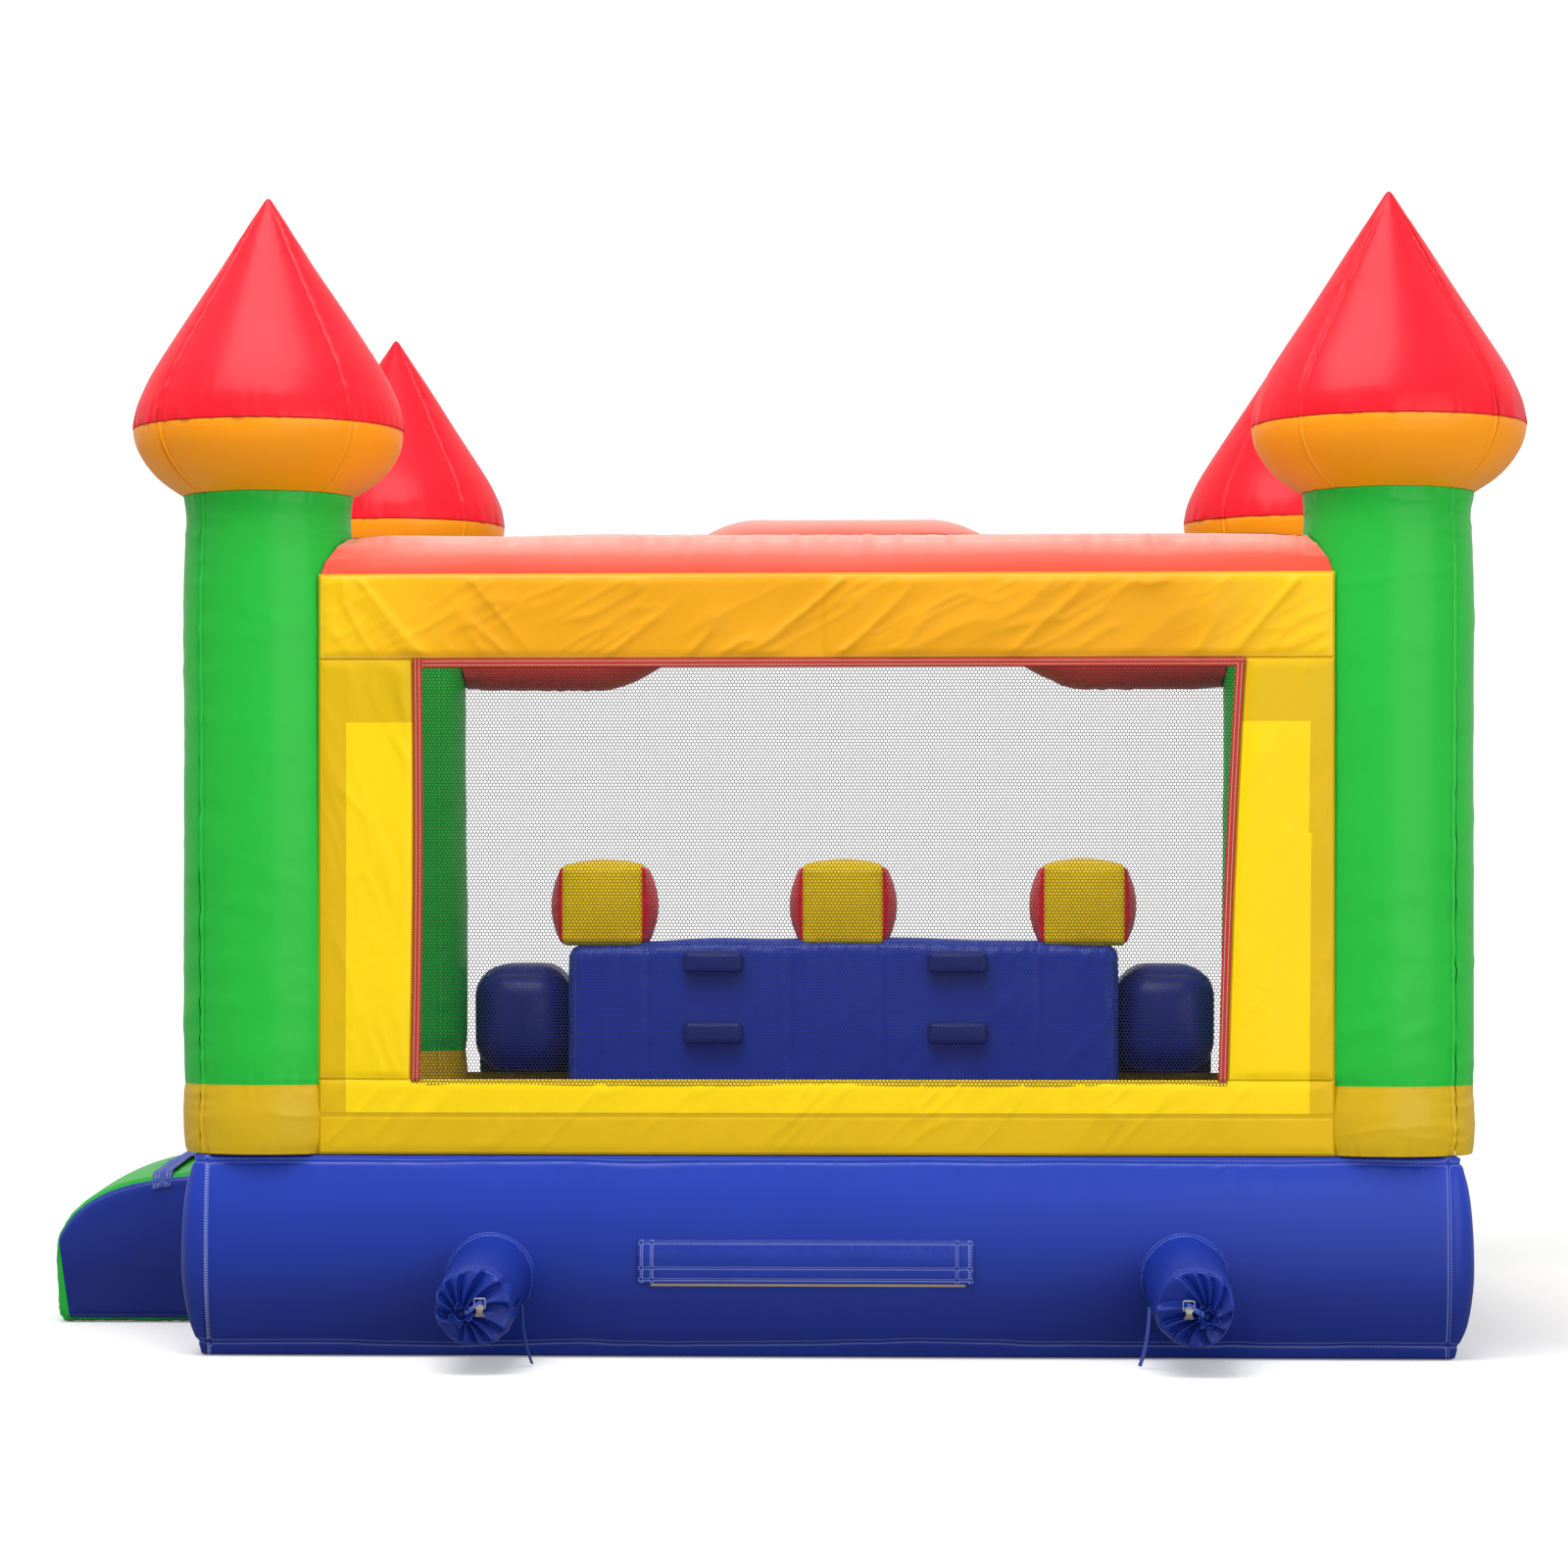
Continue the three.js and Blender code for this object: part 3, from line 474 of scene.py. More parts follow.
def cloth_material(name, colour, rough=0.46, threads=None, stitched=True, glow=0.0,
                   coat=0.22, ground=0.0, pale=None, ends=None):
    """Coated cloth in one colour, with stitch rows, gloss variation and weave. It can be
    darkened near the ground as painted shade, paled where it faces up as a painted highlight,
    given a painted glow and blended to a second colour towards the ends of a wall."""
    if name in bpy.data.materials:
        return bpy.data.materials[name]
    material, n, shader = new_material(name)
    place = n.add("ShaderNodeTexCoord").outputs["Object"]
    cloth = effect(n, coated_cloth_group, "Coated cloth", Map="cloth", Place=place)
    threads = threads or tuple(min(1.0, c * 1.25 + 0.02) for c in colour)
    tint = n.mix(cloth["Tone"], paint(colour), paint(colour, 0.84))
    if ground:
        # Painted shade: the colour darkens towards the bottom, below half a metre, by the ground
        # amount.
        high = n.add("ShaderNodeSeparateXYZ", i0=place).outputs[2]
        ground_shade = n.math("DIVIDE", n.math("SUBTRACT", 0.50, high), 0.34, clamp=True)
        tint = n.mix(n.math("MULTIPLY", ground_shade, ground), tint, paint(colour, 0.30))
    if pale:
        # Painted highlight: faces that point up are blended towards the pale colour.
        upward = n.add("ShaderNodeSeparateXYZ", i0=n.add("ShaderNodeNewGeometry").outputs[1])
        top_highlight = n.math("DIVIDE", n.math("SUBTRACT", upward.outputs[2], 0.50), 0.55, clamp=True)
        tint = n.mix(n.math("MULTIPLY", top_highlight, 0.62), tint, paint(pale))
    if ends:
        cloth_map = n.add("ShaderNodeUVMap", {"uv_map": "cloth"}).outputs[0]
        across = n.add("ShaderNodeSeparateXYZ", i0=cloth_map).outputs[0]
        outer = n.math("SUBTRACT", n.math("ABSOLUTE", across), 1.05)
        tint = n.mix(n.math("DIVIDE", outer, 0.75, clamp=True), tint, paint(ends))
    height = cloth["Height"]
    if stitched:
        rows = effect(n, stitch_group, "Stitch rows", Seam="seam")
        tint = n.mix(n.math("MULTIPLY", rows["Line"], 0.55), tint, paint(colour, 0.55))
        tint = n.mix(n.math("MULTIPLY", rows["Thread"], 0.45), tint, paint(threads))
        height = n.math("MULTIPLY_ADD", rows["Thread"], 0.6, height)
        height = n.math("MULTIPLY_ADD", rows["Line"], -1.2, height)
    n.set(shader.inputs["Base Color"], tint)
    n.set(shader.inputs["Roughness"],
          n.math("MULTIPLY_ADD", cloth["Gloss"], 0.16, rough - 0.08))
    bump = n.add("ShaderNodeBump", Strength=0.35, Distance=0.0015, Height=height)
    n.set(shader.inputs["Normal"], bump.outputs[0])
    shader.inputs["Specular IOR Level"].default_value = 0.16
    shader.inputs["Coat Weight"].default_value = coat
    shader.inputs["Coat Roughness"].default_value = 0.26
    if glow:
        # Painted glow: the cloth gives off light in its own colour, though it is no lamp.
        n.set(shader.inputs["Emission Color"], tint)
        shader.inputs["Emission Strength"].default_value = glow
    return material


def webbing_material(name, colour):
    """Woven webbing in one colour with a pale thread row near each edge."""
    if name in bpy.data.materials:
        return bpy.data.materials[name]
    material, n, shader = new_material(name)
    weave = effect(n, webbing_group, "Webbing weave", Map="cloth")
    rows = effect(n, stitch_group, "Stitch rows", Seam="seam")
    tint = n.mix(weave["Tone"], paint(colour, 0.6), paint(colour))
    tint = n.mix(n.math("MULTIPLY", rows["Thread"], 0.6), tint, (0.8, 0.72, 0.6, 1))
    n.set(shader.inputs["Base Color"], tint)
    n.set(shader.inputs["Roughness"], n.math("MULTIPLY_ADD", weave["Tone"], -0.1, 0.8))
    bump = n.add("ShaderNodeBump", Strength=0.4, Distance=0.0006, Height=weave["Height"])
    n.set(shader.inputs["Normal"], bump.outputs[0])
    return material


def net_material(name, colour):
    """Net strands in one colour with see-through holes."""
    if name in bpy.data.materials:
        return bpy.data.materials[name]
    material, n, shader = new_material(name)
    holes = effect(n, net_group, "Net holes", Map="cloth")
    grain = n.add("ShaderNodeTexNoise", Scale=300.0,
                  Vector=n.add("ShaderNodeTexCoord").outputs["Object"])
    tint = n.mix(grain.outputs["Fac"], paint(colour, 0.5), paint(colour))
    n.set(shader.inputs["Base Color"], tint)
    n.set(shader.inputs["Alpha"], holes["Strand"])
    shader.inputs["Roughness"].default_value = 0.75
    return material


def metal_material(name, colour, rough):
    """Plated metal with fine brushing and duller patches."""
    if name in bpy.data.materials:
        return bpy.data.materials[name]
    material, n, shader = new_material(name)
    place = n.add("ShaderNodeTexCoord").outputs["Object"]
    long = n.add("ShaderNodeMapping", Vector=place, Scale=(20, 400, 900)).outputs[0]
    brush = n.add("ShaderNodeTexNoise", Vector=long, Scale=1.0, Detail=2.0).outputs["Fac"]
    dull = n.add("ShaderNodeTexNoise", Vector=place, Scale=90.0, Detail=3.0).outputs["Fac"]
    tint = n.mix(dull, paint(colour), paint(colour, 0.7))
    n.set(shader.inputs["Base Color"], tint)
    n.set(shader.inputs["Roughness"], n.math("MULTIPLY_ADD", dull, 0.25, rough - 0.12))
    shader.inputs["Metallic"].default_value = 1.0
    bump = n.add("ShaderNodeBump", Strength=0.15, Distance=0.0002, Height=brush)
    n.set(shader.inputs["Normal"], bump.outputs[0])
    return material


# ---------------------------------------------------------------- settings

def length_prop(name, description, default):
    return bpy.props.FloatProperty(name=name, description=description, default=default,
                                   min=0.0, unit="LENGTH")


def colour_prop(name, description, hexcode):
    return bpy.props.FloatVectorProperty(name=name, description=description, subtype="COLOR",
                                         size=3, min=0.0, max=1.0, default=linear(hexcode))


class BounceHouseSizes(bpy.types.PropertyGroup):
    """Sizes of the sewn and inflated pieces."""

    base_bulge: length_prop("Base bulge", "How far the mattress sides stand out", 0.06)
    base_half: length_prop("Base half width", "Half the mattress at its widest", 1.978)
    pucker_depth: length_prop("Pucker depth", "Depth of the gathers at the seams", 0.0075)
    tower_at: length_prop("Tower place", "Distance of each tower from the middle", 1.728)
    column_radius: length_prop("Column radius", "Radius of the tower columns", 0.265)
    foot_top: length_prop("Foot top", "Height where the column colour starts", 0.83)
    beam_radius: length_prop("Beam radius", "Radius of the beams between the towers", 0.15)
    beam_height: length_prop("Beam height", "Height of the straight beams", 2.38)
    wall_at: length_prop("Wall place", "Distance of the wall panels from the middle", 1.9345)
    webbing_width: length_prop("Webbing width", "Width of the window border", 0.028)
    cloth_thickness: length_prop("Cloth thickness", "Thickness of the coated cloth", 0.0015)


class BounceHouseColours(bpy.types.PropertyGroup):
    """Colours of the fabrics and fittings."""

    blue: colour_prop("Blue", "Mattress, slide rails and air tubes", "1c3db6")
    navy: colour_prop("Navy", "Climbing steps and slide rails", "182a84")
    green: colour_prop("Green", "Tower columns and slide lanes", "1fc23c")
    mustard: colour_prop("Mustard", "Tower feet", "dcb40c")
    yellow: colour_prop("Yellow", "Wall panels and merlons", "ffd800")
    amber: colour_prop("Amber", "Wall headers", "f2a80c")
    orange: colour_prop("Orange", "Tower bowls", "ff9c0a")
    coral: colour_prop("Coral", "Beams", "ff5640")
    red: colour_prop("Red", "Tower cones and merlon sides", "ff0c26")
    border: colour_prop("Border", "Window border webbing", "c8321e")
    net: colour_prop("Net", "Window net", "16181d")
    inner: colour_prop("Inner web", "Webs inside the mattress", "d8dade")
    strap: colour_prop("Strap", "Hold-down and tube straps", "4c66cf")
    steel: colour_prop("Steel", "Buckle loops", "c4c6cc")
    zinc: colour_prop("Zinc", "Levers and zip slider", "a39d92")
    floor: colour_prop("Studio floor", "Pale floor of the stage", "fbfbfb")


def sizes():
    return bpy.context.scene.bounce_house_sizes


def colours():
    return bpy.context.scene.bounce_house_colours


def cloth_of(name, **settings):
    """The coated cloth in one of the set colours; the blue one is sewn with paler thread."""
    if name == "blue":
        settings.setdefault("threads", (0.42, 0.50, 0.80))
        # Painted shade near the ground on all the blue cloth.
        settings.setdefault("ground", 0.75)
    if name == "orange":
        # Painted glow that lightens the shaded underside of the orange bowls.
        settings.setdefault("glow", 0.12)
    return cloth_material(name.capitalize() + " coated cloth", tuple(getattr(colours(), name)),
                          **settings)


class BounceHouseStep(bpy.types.Operator):
    """Shared behaviour of the steps that add pieces."""

    bl_options = {"REGISTER", "UNDO"}

    def execute(self, context):
        self.make()
        return {"FINISHED"}


# ---------------------------------------------------------------- mattress

def square_ring(count, half, corner):
    """Points and outward directions round a square with rounded corners: along a side they
    move by length, round a corner by angle. Also gives the length travelled."""
    side, arc = 2 * (half - corner), corner * math.pi / 2
    travelled = np.linspace(0, 1, count) * 4 * (side + arc)
    which = np.minimum((travelled / (side + arc)).astype(int), 3)
    rest = travelled - which * (side + arc)
    angle = np.maximum(rest - side, 0) / corner
    x = -side / 2 + np.minimum(rest, side) + corner * np.sin(angle)
    y = -(half - corner) - corner * np.cos(angle)
    normal = np.stack([np.sin(angle), -np.cos(angle)], -1)
    c, s = (np.round(f(which * math.pi / 2)) for f in (np.cos, np.sin))
    points, normal = (np.stack([p * c - q * s, p * s + q * c], -1)
                      for p, q in ((x, y), (normal[:, 0], normal[:, 1])))
    return points, normal, travelled, rest - side / 2


class BOUNCE_OT_mattress(BounceHouseStep):
    """Adds the inflated mattress with its rim seam, corner seams and ground skirt"""

    bl_idname = "bounce_house.mattress"
    bl_label = "Mattress"

    def make(self):
        s = sizes()
        bulge, depth, rim, skirt = s.base_bulge, s.pucker_depth, 0.600, 0.046
        ring, normal, along, local = square_ring(1240, s.base_half, 0.075)
        # inset from the widest line, and height
        side = [(bulge + 0.02, 0.001), (bulge, 0.004), (bulge - 0.006, 0.022),
                (bulge - 0.014, 0.045), (0.020, 0.11), (0.003, 0.22), (0.0, 0.31),
                (0.004, 0.42), (0.014, 0.51), (0.030, 0.575), (0.040, 0.600),
                (0.038, 0.609), (0.046, 0.6165), (0.070, 0.6195), (0.11, 0.620)]
        profile = curve_through(side, 260)
        rows = dense_near([0.06, 0.83], 58, 0.09, 3.0)
        profile = resample(profile, 58, rows)
        inset, z = profile[:, :1], profile[:, 1:]
        wave = 0.011 * noise(along / 0.37, 2.5, 5) + 0.003 * noise(along / 0.09, 2.5, 6)
        to_corner = np.abs(np.abs(local) - 1.895)
        out = puckers(along, rim - 0.003 - z, 11, 0.03, 0.05, depth * 0.8)
        out = out + puckers(along, z - skirt - 0.001 - wave, 12, 0.035, 0.09, depth * 0.9)
        corner_pull = np.exp(-(to_corner / 0.05) ** 2) * np.exp(-((z - 0.08) / 0.07) ** 2)
        out = out - 0.016 * corner_pull * np.abs(noise(along / 0.014, z / 0.4, 13))
        out = out + groove(to_corner, 0.006, 0.005) * smooth((z - 0.03) / 0.05)
        out = out + groove(z - rim + 0.003 * noise(along / 0.2, 1.5, 14), 0.005, 0.004)
        out = out + groove(z - 0.044 - wave, 0.006, 0.006)
        out = out + 0.005 * noise(along / 0.7, z / 0.5, 15) * smooth(z / 0.1)
        out = out * (z < 0.615) * (z > 0.003)
        points = np.zeros((len(z), len(along), 3))
        points[..., :2] = ring[None] + normal[None] * (out - inset)[..., None]
        ripple = 0.006 * noise(along / 0.22, 4.4, 16) * np.exp(-((z - rim) / 0.014) ** 2)
        points[..., 2] = np.maximum(z + ripple * (z < 0.612), 0.0)
        cloth = np.stack(np.broadcast_arrays(along[None], z), -1)
        lines = np.stack(np.broadcast_arrays(np.abs(z - rim), np.abs(z - skirt - wave),
                                             to_corner[None]), -1)
        seam = np.stack([np.where(lines.argmin(-1) == 2, z, along[None]), lines.min(-1)], -1)
        lids = [lid(edge, np.array([0.0, 0.0, edge[0, 2]]), 5)
                for edge in (points[0], points[-1])]
        piece = build("mattress", [grid(points, cloth, seam), *lids], [cloth_of("blue")],
                      stands_for=["base_mattress"])


class BOUNCE_OT_mattress_webs(BounceHouseStep):
    """Adds the upright webs that hold the mattress flat from inside"""

    bl_idname = "bounce_house.mattress_webs"
    bl_label = "Mattress webs"

    def make(self):
        finish = cloth_of("inner", rough=0.7, stitched=False)
        low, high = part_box("base_baffles")
        for count in range(10):
            a, z = lattice(low.y, high.y, 90, low.z, high.z, 16)
            sag = 0.006 * noise(a * 3, z * 4, 40 + count) * np.sin(math.pi * z / high.z)
            where = 0.0 if count == 9 else (count - 4) * 0.4
            flat = np.stack([where + sag, a, z], -1)
            points = flat if count < 9 else turn(flat, 1)
            piece = build(f"mattress_web_{count + 1}", [grid(points)], [finish],
                          stands_for=["base_baffles"], outward=False)


class BOUNCE_OT_jump_floor(BounceHouseStep):
    """Adds the jumping floor, pillowed between the rows where the webs are sewn to it"""

    bl_idname = "bounce_house.jump_floor"
    bl_label = "Jumping floor"

    def make(self):
        low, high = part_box("jump_floor")
        half, notch, far = high.x, sizes().tower_at - 0.27, high.y
        bands = [(-notch, notch, low.y, -notch), (-half, half, -notch, notch),
                 (-notch, notch, notch, far)]
        patches = []
        for x0, x1, y0, y1 in bands:
            nx, ny = int((x1 - x0) / 0.028) + 1, max(4, int((y1 - y0) / 0.028) + 1)
            x, y = lattice(x0, x1, nx, y0, y1, ny)
            row = np.abs((x / 0.4 + 0.5) % 1 - 0.5) * 0.4
            z = high.z - 0.008 + 0.010 * np.sin(np.clip(row / 0.2, 0, 1) * math.pi / 2) ** 0.6
            z = z + puckers(y, row, 21, 0.04, 0.06, 0.003)
            flat = np.stack([x, y], -1)
            patches += [grid(np.stack([x, y, z], -1), flat, np.stack([y, row], -1)),
                        grid(np.stack([x, y, 0 * x + low.z], -1), flat, flip=True)]
        piece = build("jumping_floor", patches, [cloth_of("blue")],
                      stands_for=["jump_floor"], outward=False)


# ---------------------------------------------------------------- towers

TOWERS = {"near_left": (-1, -1), "near_right": (1, -1), "far_left": (-1, 1),
          "far_right": (1, 1)}


def turned_piece(profile, seed, folds, first_seam, seam_count, rows, count):
    """A surface turned about Z: radius from the profile plus the folds given by a function of
    arc length, distance along the profile and height; upright seams are pressed in."""
    line = resample(curve_through(profile, 300), rows, dense_near([0, 1], rows, 0.12, 3.0))
    radius, z = line[:, :1], line[:, 1:]
    seams = np.arange(seam_count + 1) / seam_count
    angle = first_seam + TAU * dense_near(seams, count, 0.012, 5.0)[None]
    step = np.linalg.norm(np.diff(line, axis=0), axis=1)
    down = np.concatenate([[0], np.cumsum(step)])[:, None]
    around = (angle - first_seam) / TAU * seam_count
    turn_away = np.abs(around - np.round(around)) / seam_count * TAU
    to_seam = turn_away * np.maximum(radius, 0.01)
    arc = angle * radius.max()
    out = folds(arc, down, down[-1] - down, z, to_seam, seed)
    fine = smooth(radius / 0.1)
    out = out + (groove(to_seam, 0.015, 0.005) - groove(to_seam, 0.0055, 0.009)) * fine
    grown = np.maximum(radius + out, 0.0)
    points = np.stack([grown * np.cos(angle), grown * np.sin(angle),
                       np.broadcast_to(z, grown.shape)], -1)
    ends = np.minimum(down, down[-1] - down)
    seam = np.stack([np.where(to_seam < ends, down, arc), np.minimum(to_seam, ends)], -1)
    return points, np.stack(np.broadcast_arrays(arc, down), -1), seam


class BOUNCE_OT_towers(BounceHouseStep):
    """Adds the four towers: column with its foot, flared bowl and pointed roof"""

    bl_idname = "bounce_house.towers"
    bl_label = "Towers"

    def make(self):
        s = sizes()
        r, foot, deep = s.column_radius, s.foot_top, s.pucker_depth
        column = [(r - 0.004, STANDING), (r + 0.004, 0.66), (r + 0.006, 0.74), (r - 0.001, foot),
                  (r + 0.003, 0.93), (r + 0.002, 1.3), (r, 1.9), (r + 0.001, 2.3),
                  (r - 0.004, 2.48), (r - 0.010, 2.58), (r - 0.004, 2.655)]
        bowl = [(0.262, 2.6555), (0.301, 2.679), (0.343, 2.710), (0.381, 2.752),
                (0.407, 2.797), (0.4175, 2.835), (0.419, 2.8602)]
        cone = [(0.4195, 2.8606), (0.4185, 2.885), (0.408, 2.935), (0.385, 2.99),
                (0.358, 3.042), (0.303, 3.13), (0.210, 3.273), (0.116, 3.418), (0.05, 3.52),
                (0.022, 3.563), (0.010, 3.581), (0.0, 3.588)]

        def column_folds(arc, low, high, z, to_seam, seed):
            out = puckers(arc, high, seed, 0.03, 0.06, deep * 0.9)
            out = out + puckers(arc, np.abs(z - foot), seed + 1, 0.035, 0.06, deep)
            out = out + puckers(arc, low, seed + 2, 0.03, 0.05, deep)
            out = out + groove(z - foot, 0.005, 0.004)
            out = out + puckers(z, to_seam, seed + 3, 0.035, 0.11, deep * 0.9)
            out = out + creases(arc, z, seed + 4, 0.06, 0.05, 0.003, 4.0)
            return out + 0.003 * noise(arc * 4, z * 1.6, seed + 5)

        def bowl_folds(arc, low, high, z, to_seam, seed):
            out = puckers(arc, high, seed, 0.025, 0.05, deep * 0.6)
            out = out + puckers(arc, low, seed + 1, 0.025, 0.04, deep * 0.6)
            return out + 0.0025 * noise(arc * 3, z * 8, seed + 2)

        def cone_folds(arc, low, high, z, to_seam, seed):
            out = puckers(arc, low, seed, 0.026, 0.10, deep * 1.2) * smooth(to_seam / 0.04)
            slant = z + to_seam * 0.7
            out = out + puckers(slant, to_seam, seed + 1, 0.03, 0.07, deep) * smooth(low / 0.1)
            fade = smooth((3.57 - z) / 0.15)
            return (out + 0.003 * noise(arc * 2, z * 5, seed + 2)) * fade

        at, lean = s.tower_at, 0.010
        parts = [("column", column, column_folds, ["green", "mustard"], "green", 2, 130, 200),
                 ("bowl", bowl, bowl_folds, ["orange"], "orange", 4, 32, 320),
                 ("cone", cone, cone_folds, ["red"], "red", 4, 68, 340)]
        for number, (place, (sx, sy)) in enumerate(TOWERS.items()):
            for part, profile, folds, finishes, slot, *counts in parts:
                points, cloth, seam = turned_piece(profile, 100 + 20 * number, folds,
                                                   math.atan2(sy, sx), *counts)
                z = points[..., 2]
                points[..., 0] += sx * (at + lean * (z - 0.62) / 3.0)
                points[..., 1] += sy * at
                which = (z[:-1, :-1] < foot - 0.004).astype(int) if part == "column" else 0
                patches = [grid(points, cloth, seam, which)]
                if part == "cone":
                    patches.append(lid(points[0], points[0].mean(0), 4))
                node = f"tower_{place}_{part}"
                piece = build(f"{node}_skin", patches,
                              [cloth_of(key) for key in finishes],
                              stands_for=[node])


# ---------------------------------------------------------------- beams

def beam_points(rise, seed, radius, height, at, deep):
    """A tube along X whose middle line rises by smoothstep, its ends cut to the round towers:
    at each point round the tube the end lies where it meets the column's circle."""
    angle = np.linspace(0, TAU, 56)[None]
    share = np.linspace(-1, 1, 320)
    share = (np.sign(share) * (1 - (1 - np.abs(share)) ** 1.25))[:, None]
    y0 = -1.777
    y = y0 + radius * np.sin(angle)
    end = at - np.sqrt(np.maximum(0.2675**2 - (y + at) ** 2, 0.0))
    x = share * end
    lift = rise * smooth((0.96 - np.abs(x)) / 0.63)
    slope = np.gradient(lift[:, 0], x[:, 0])[:, None] if rise else 0 * share
    from_end = (1 - np.abs(share)) * 1.5
    arc = angle * radius
    top = np.abs(np.angle(np.exp(1j * (angle + 0.42)))) * radius
    under = np.abs(np.angle(np.exp(1j * (angle - math.pi)))) * radius
    out = puckers(arc, from_end, seed, 0.024, 0.09, deep * 1.3)
    out = out + puckers(x, top, seed + 1, 0.032, 0.055, deep * 2.0)
    out = out + puckers(x, under, seed + 2, 0.05, 0.05, deep)
    out = out + groove(top, 0.005, 0.003)
    out = out + 0.003 * noise(x * 3, angle * 1.5, seed + 3)
    fat = radius + out - 0.006 * smooth(1 - from_end / 0.12)
    nx = -slope / np.sqrt(1 + slope**2)
    nz = 1 / np.sqrt(1 + slope**2)
    points = np.stack([x + fat * np.cos(angle) * nx, y0 + fat * np.sin(angle) + 0 * x,
                       height + lift + fat * np.cos(angle) * nz], -1)
    seam = np.stack(np.broadcast_arrays(x, np.minimum(top, under)), -1)
    return points, np.stack(np.broadcast_arrays(x, arc), -1), seam


class BOUNCE_OT_beams(BounceHouseStep):
    """Adds the three straight beams and the arched one over the slide"""

    bl_idname = "bounce_house.beams"
    bl_label = "Beams"

    def make(self):
        s = sizes()
        beams = {"beam_blower_wall": (0, 0.0), "beam_window_wall": (1, 0.0),
                 "beam_slide_side": (2, 0.36), "beam_entrance_wall": (3, 0.0)}
        for node, (quarter, rise) in beams.items():
            points, cloth, seam = beam_points(rise, 300 + 10 * quarter, s.beam_radius,
                                              s.beam_height, s.tower_at, s.pucker_depth)
            points = turn(points, quarter)
            patches = [grid(points, cloth, seam),
                       *[lid(rim, rim.mean(0), 5) for rim in (points[0], points[-1])]]
            # Painted highlight: the coral pales towards the top of each beam.
            piece = build(f"{node}_tube", patches, [cloth_of("coral", pale=(1.0, 0.66, 0.58))],
                          stands_for=[node])


# ---------------------------------------------------------------- walls

WALLS = {"blower_wall": 0, "window_wall": 1, "entrance_wall": 3}
SIDES = {"blower_wall": ("left", "right"), "window_wall": ("near", "far"),
         "entrance_wall": ("far", "near")}
WINDOW_TOP, WINDOW_FOOT, WINDOW_SIDE = 2.140, 0.847, 1.268
SILL_LINE = 0.741    # seam along the sill
REACH = 1.553        # half the length of a wall between its towers
SHADOW_FROM = 1.474       # painted shade of the tower column behind the panel starts beyond this
DOOR = 0.45          # half the entrance doorway
PANEL_STEP = 0.0085


def window_edges(wall, z):
    """Where the window starts and ends at each height; the first wall's right side leans in."""
    if wall != "blower_wall":
        return -WINDOW_SIDE + 0 * z, WINDOW_SIDE + 0 * z
    share = (z - WINDOW_FOOT) / (WINDOW_TOP - WINDOW_FOOT)
    bow = 0.006 * np.sin(math.pi * share)
    return -1.2685 + 0.006 * share + bow, 1.227 + 0.054 * share - bow


def wall_sheet(left, right, low, high, quarter, folds, lines_z):
    """A flat cloth between two edges and two heights in a wall's own frame, where the first
    axis runs along it and outwards is -Y. Folds stand out from the plane and die at the rims."""
    z = np.linspace(low, high, int((high - low) / PANEL_STEP) + 1)[None]
    start, end = left + 0 * z, right + 0 * z
    share = np.linspace(0, 1, int(np.max(end - start) / PANEL_STEP) + 1)[:, None]
    a = start + (end - start) * share
    z = z + 0 * a
    rim = np.minimum(np.minimum(a - start, end - a), np.minimum(z - low, high - z))
    out = folds(a, z) * smooth(rim / 0.03)
    near_z = np.min([np.abs(z - line) for line in (low, high, *lines_z)], axis=0)
    near_a = np.minimum(a - start, end - a)
    nearest = np.minimum(near_z, near_a)
    out = out + groove(nearest, 0.005, 0.002)
    points = turn(np.stack([a, -(sizes().wall_at + out), z], -1), quarter)
    seam = np.stack([np.where(near_z < near_a, a, z), nearest - 0.004], -1)
    return points, np.stack([a, z], -1), seam


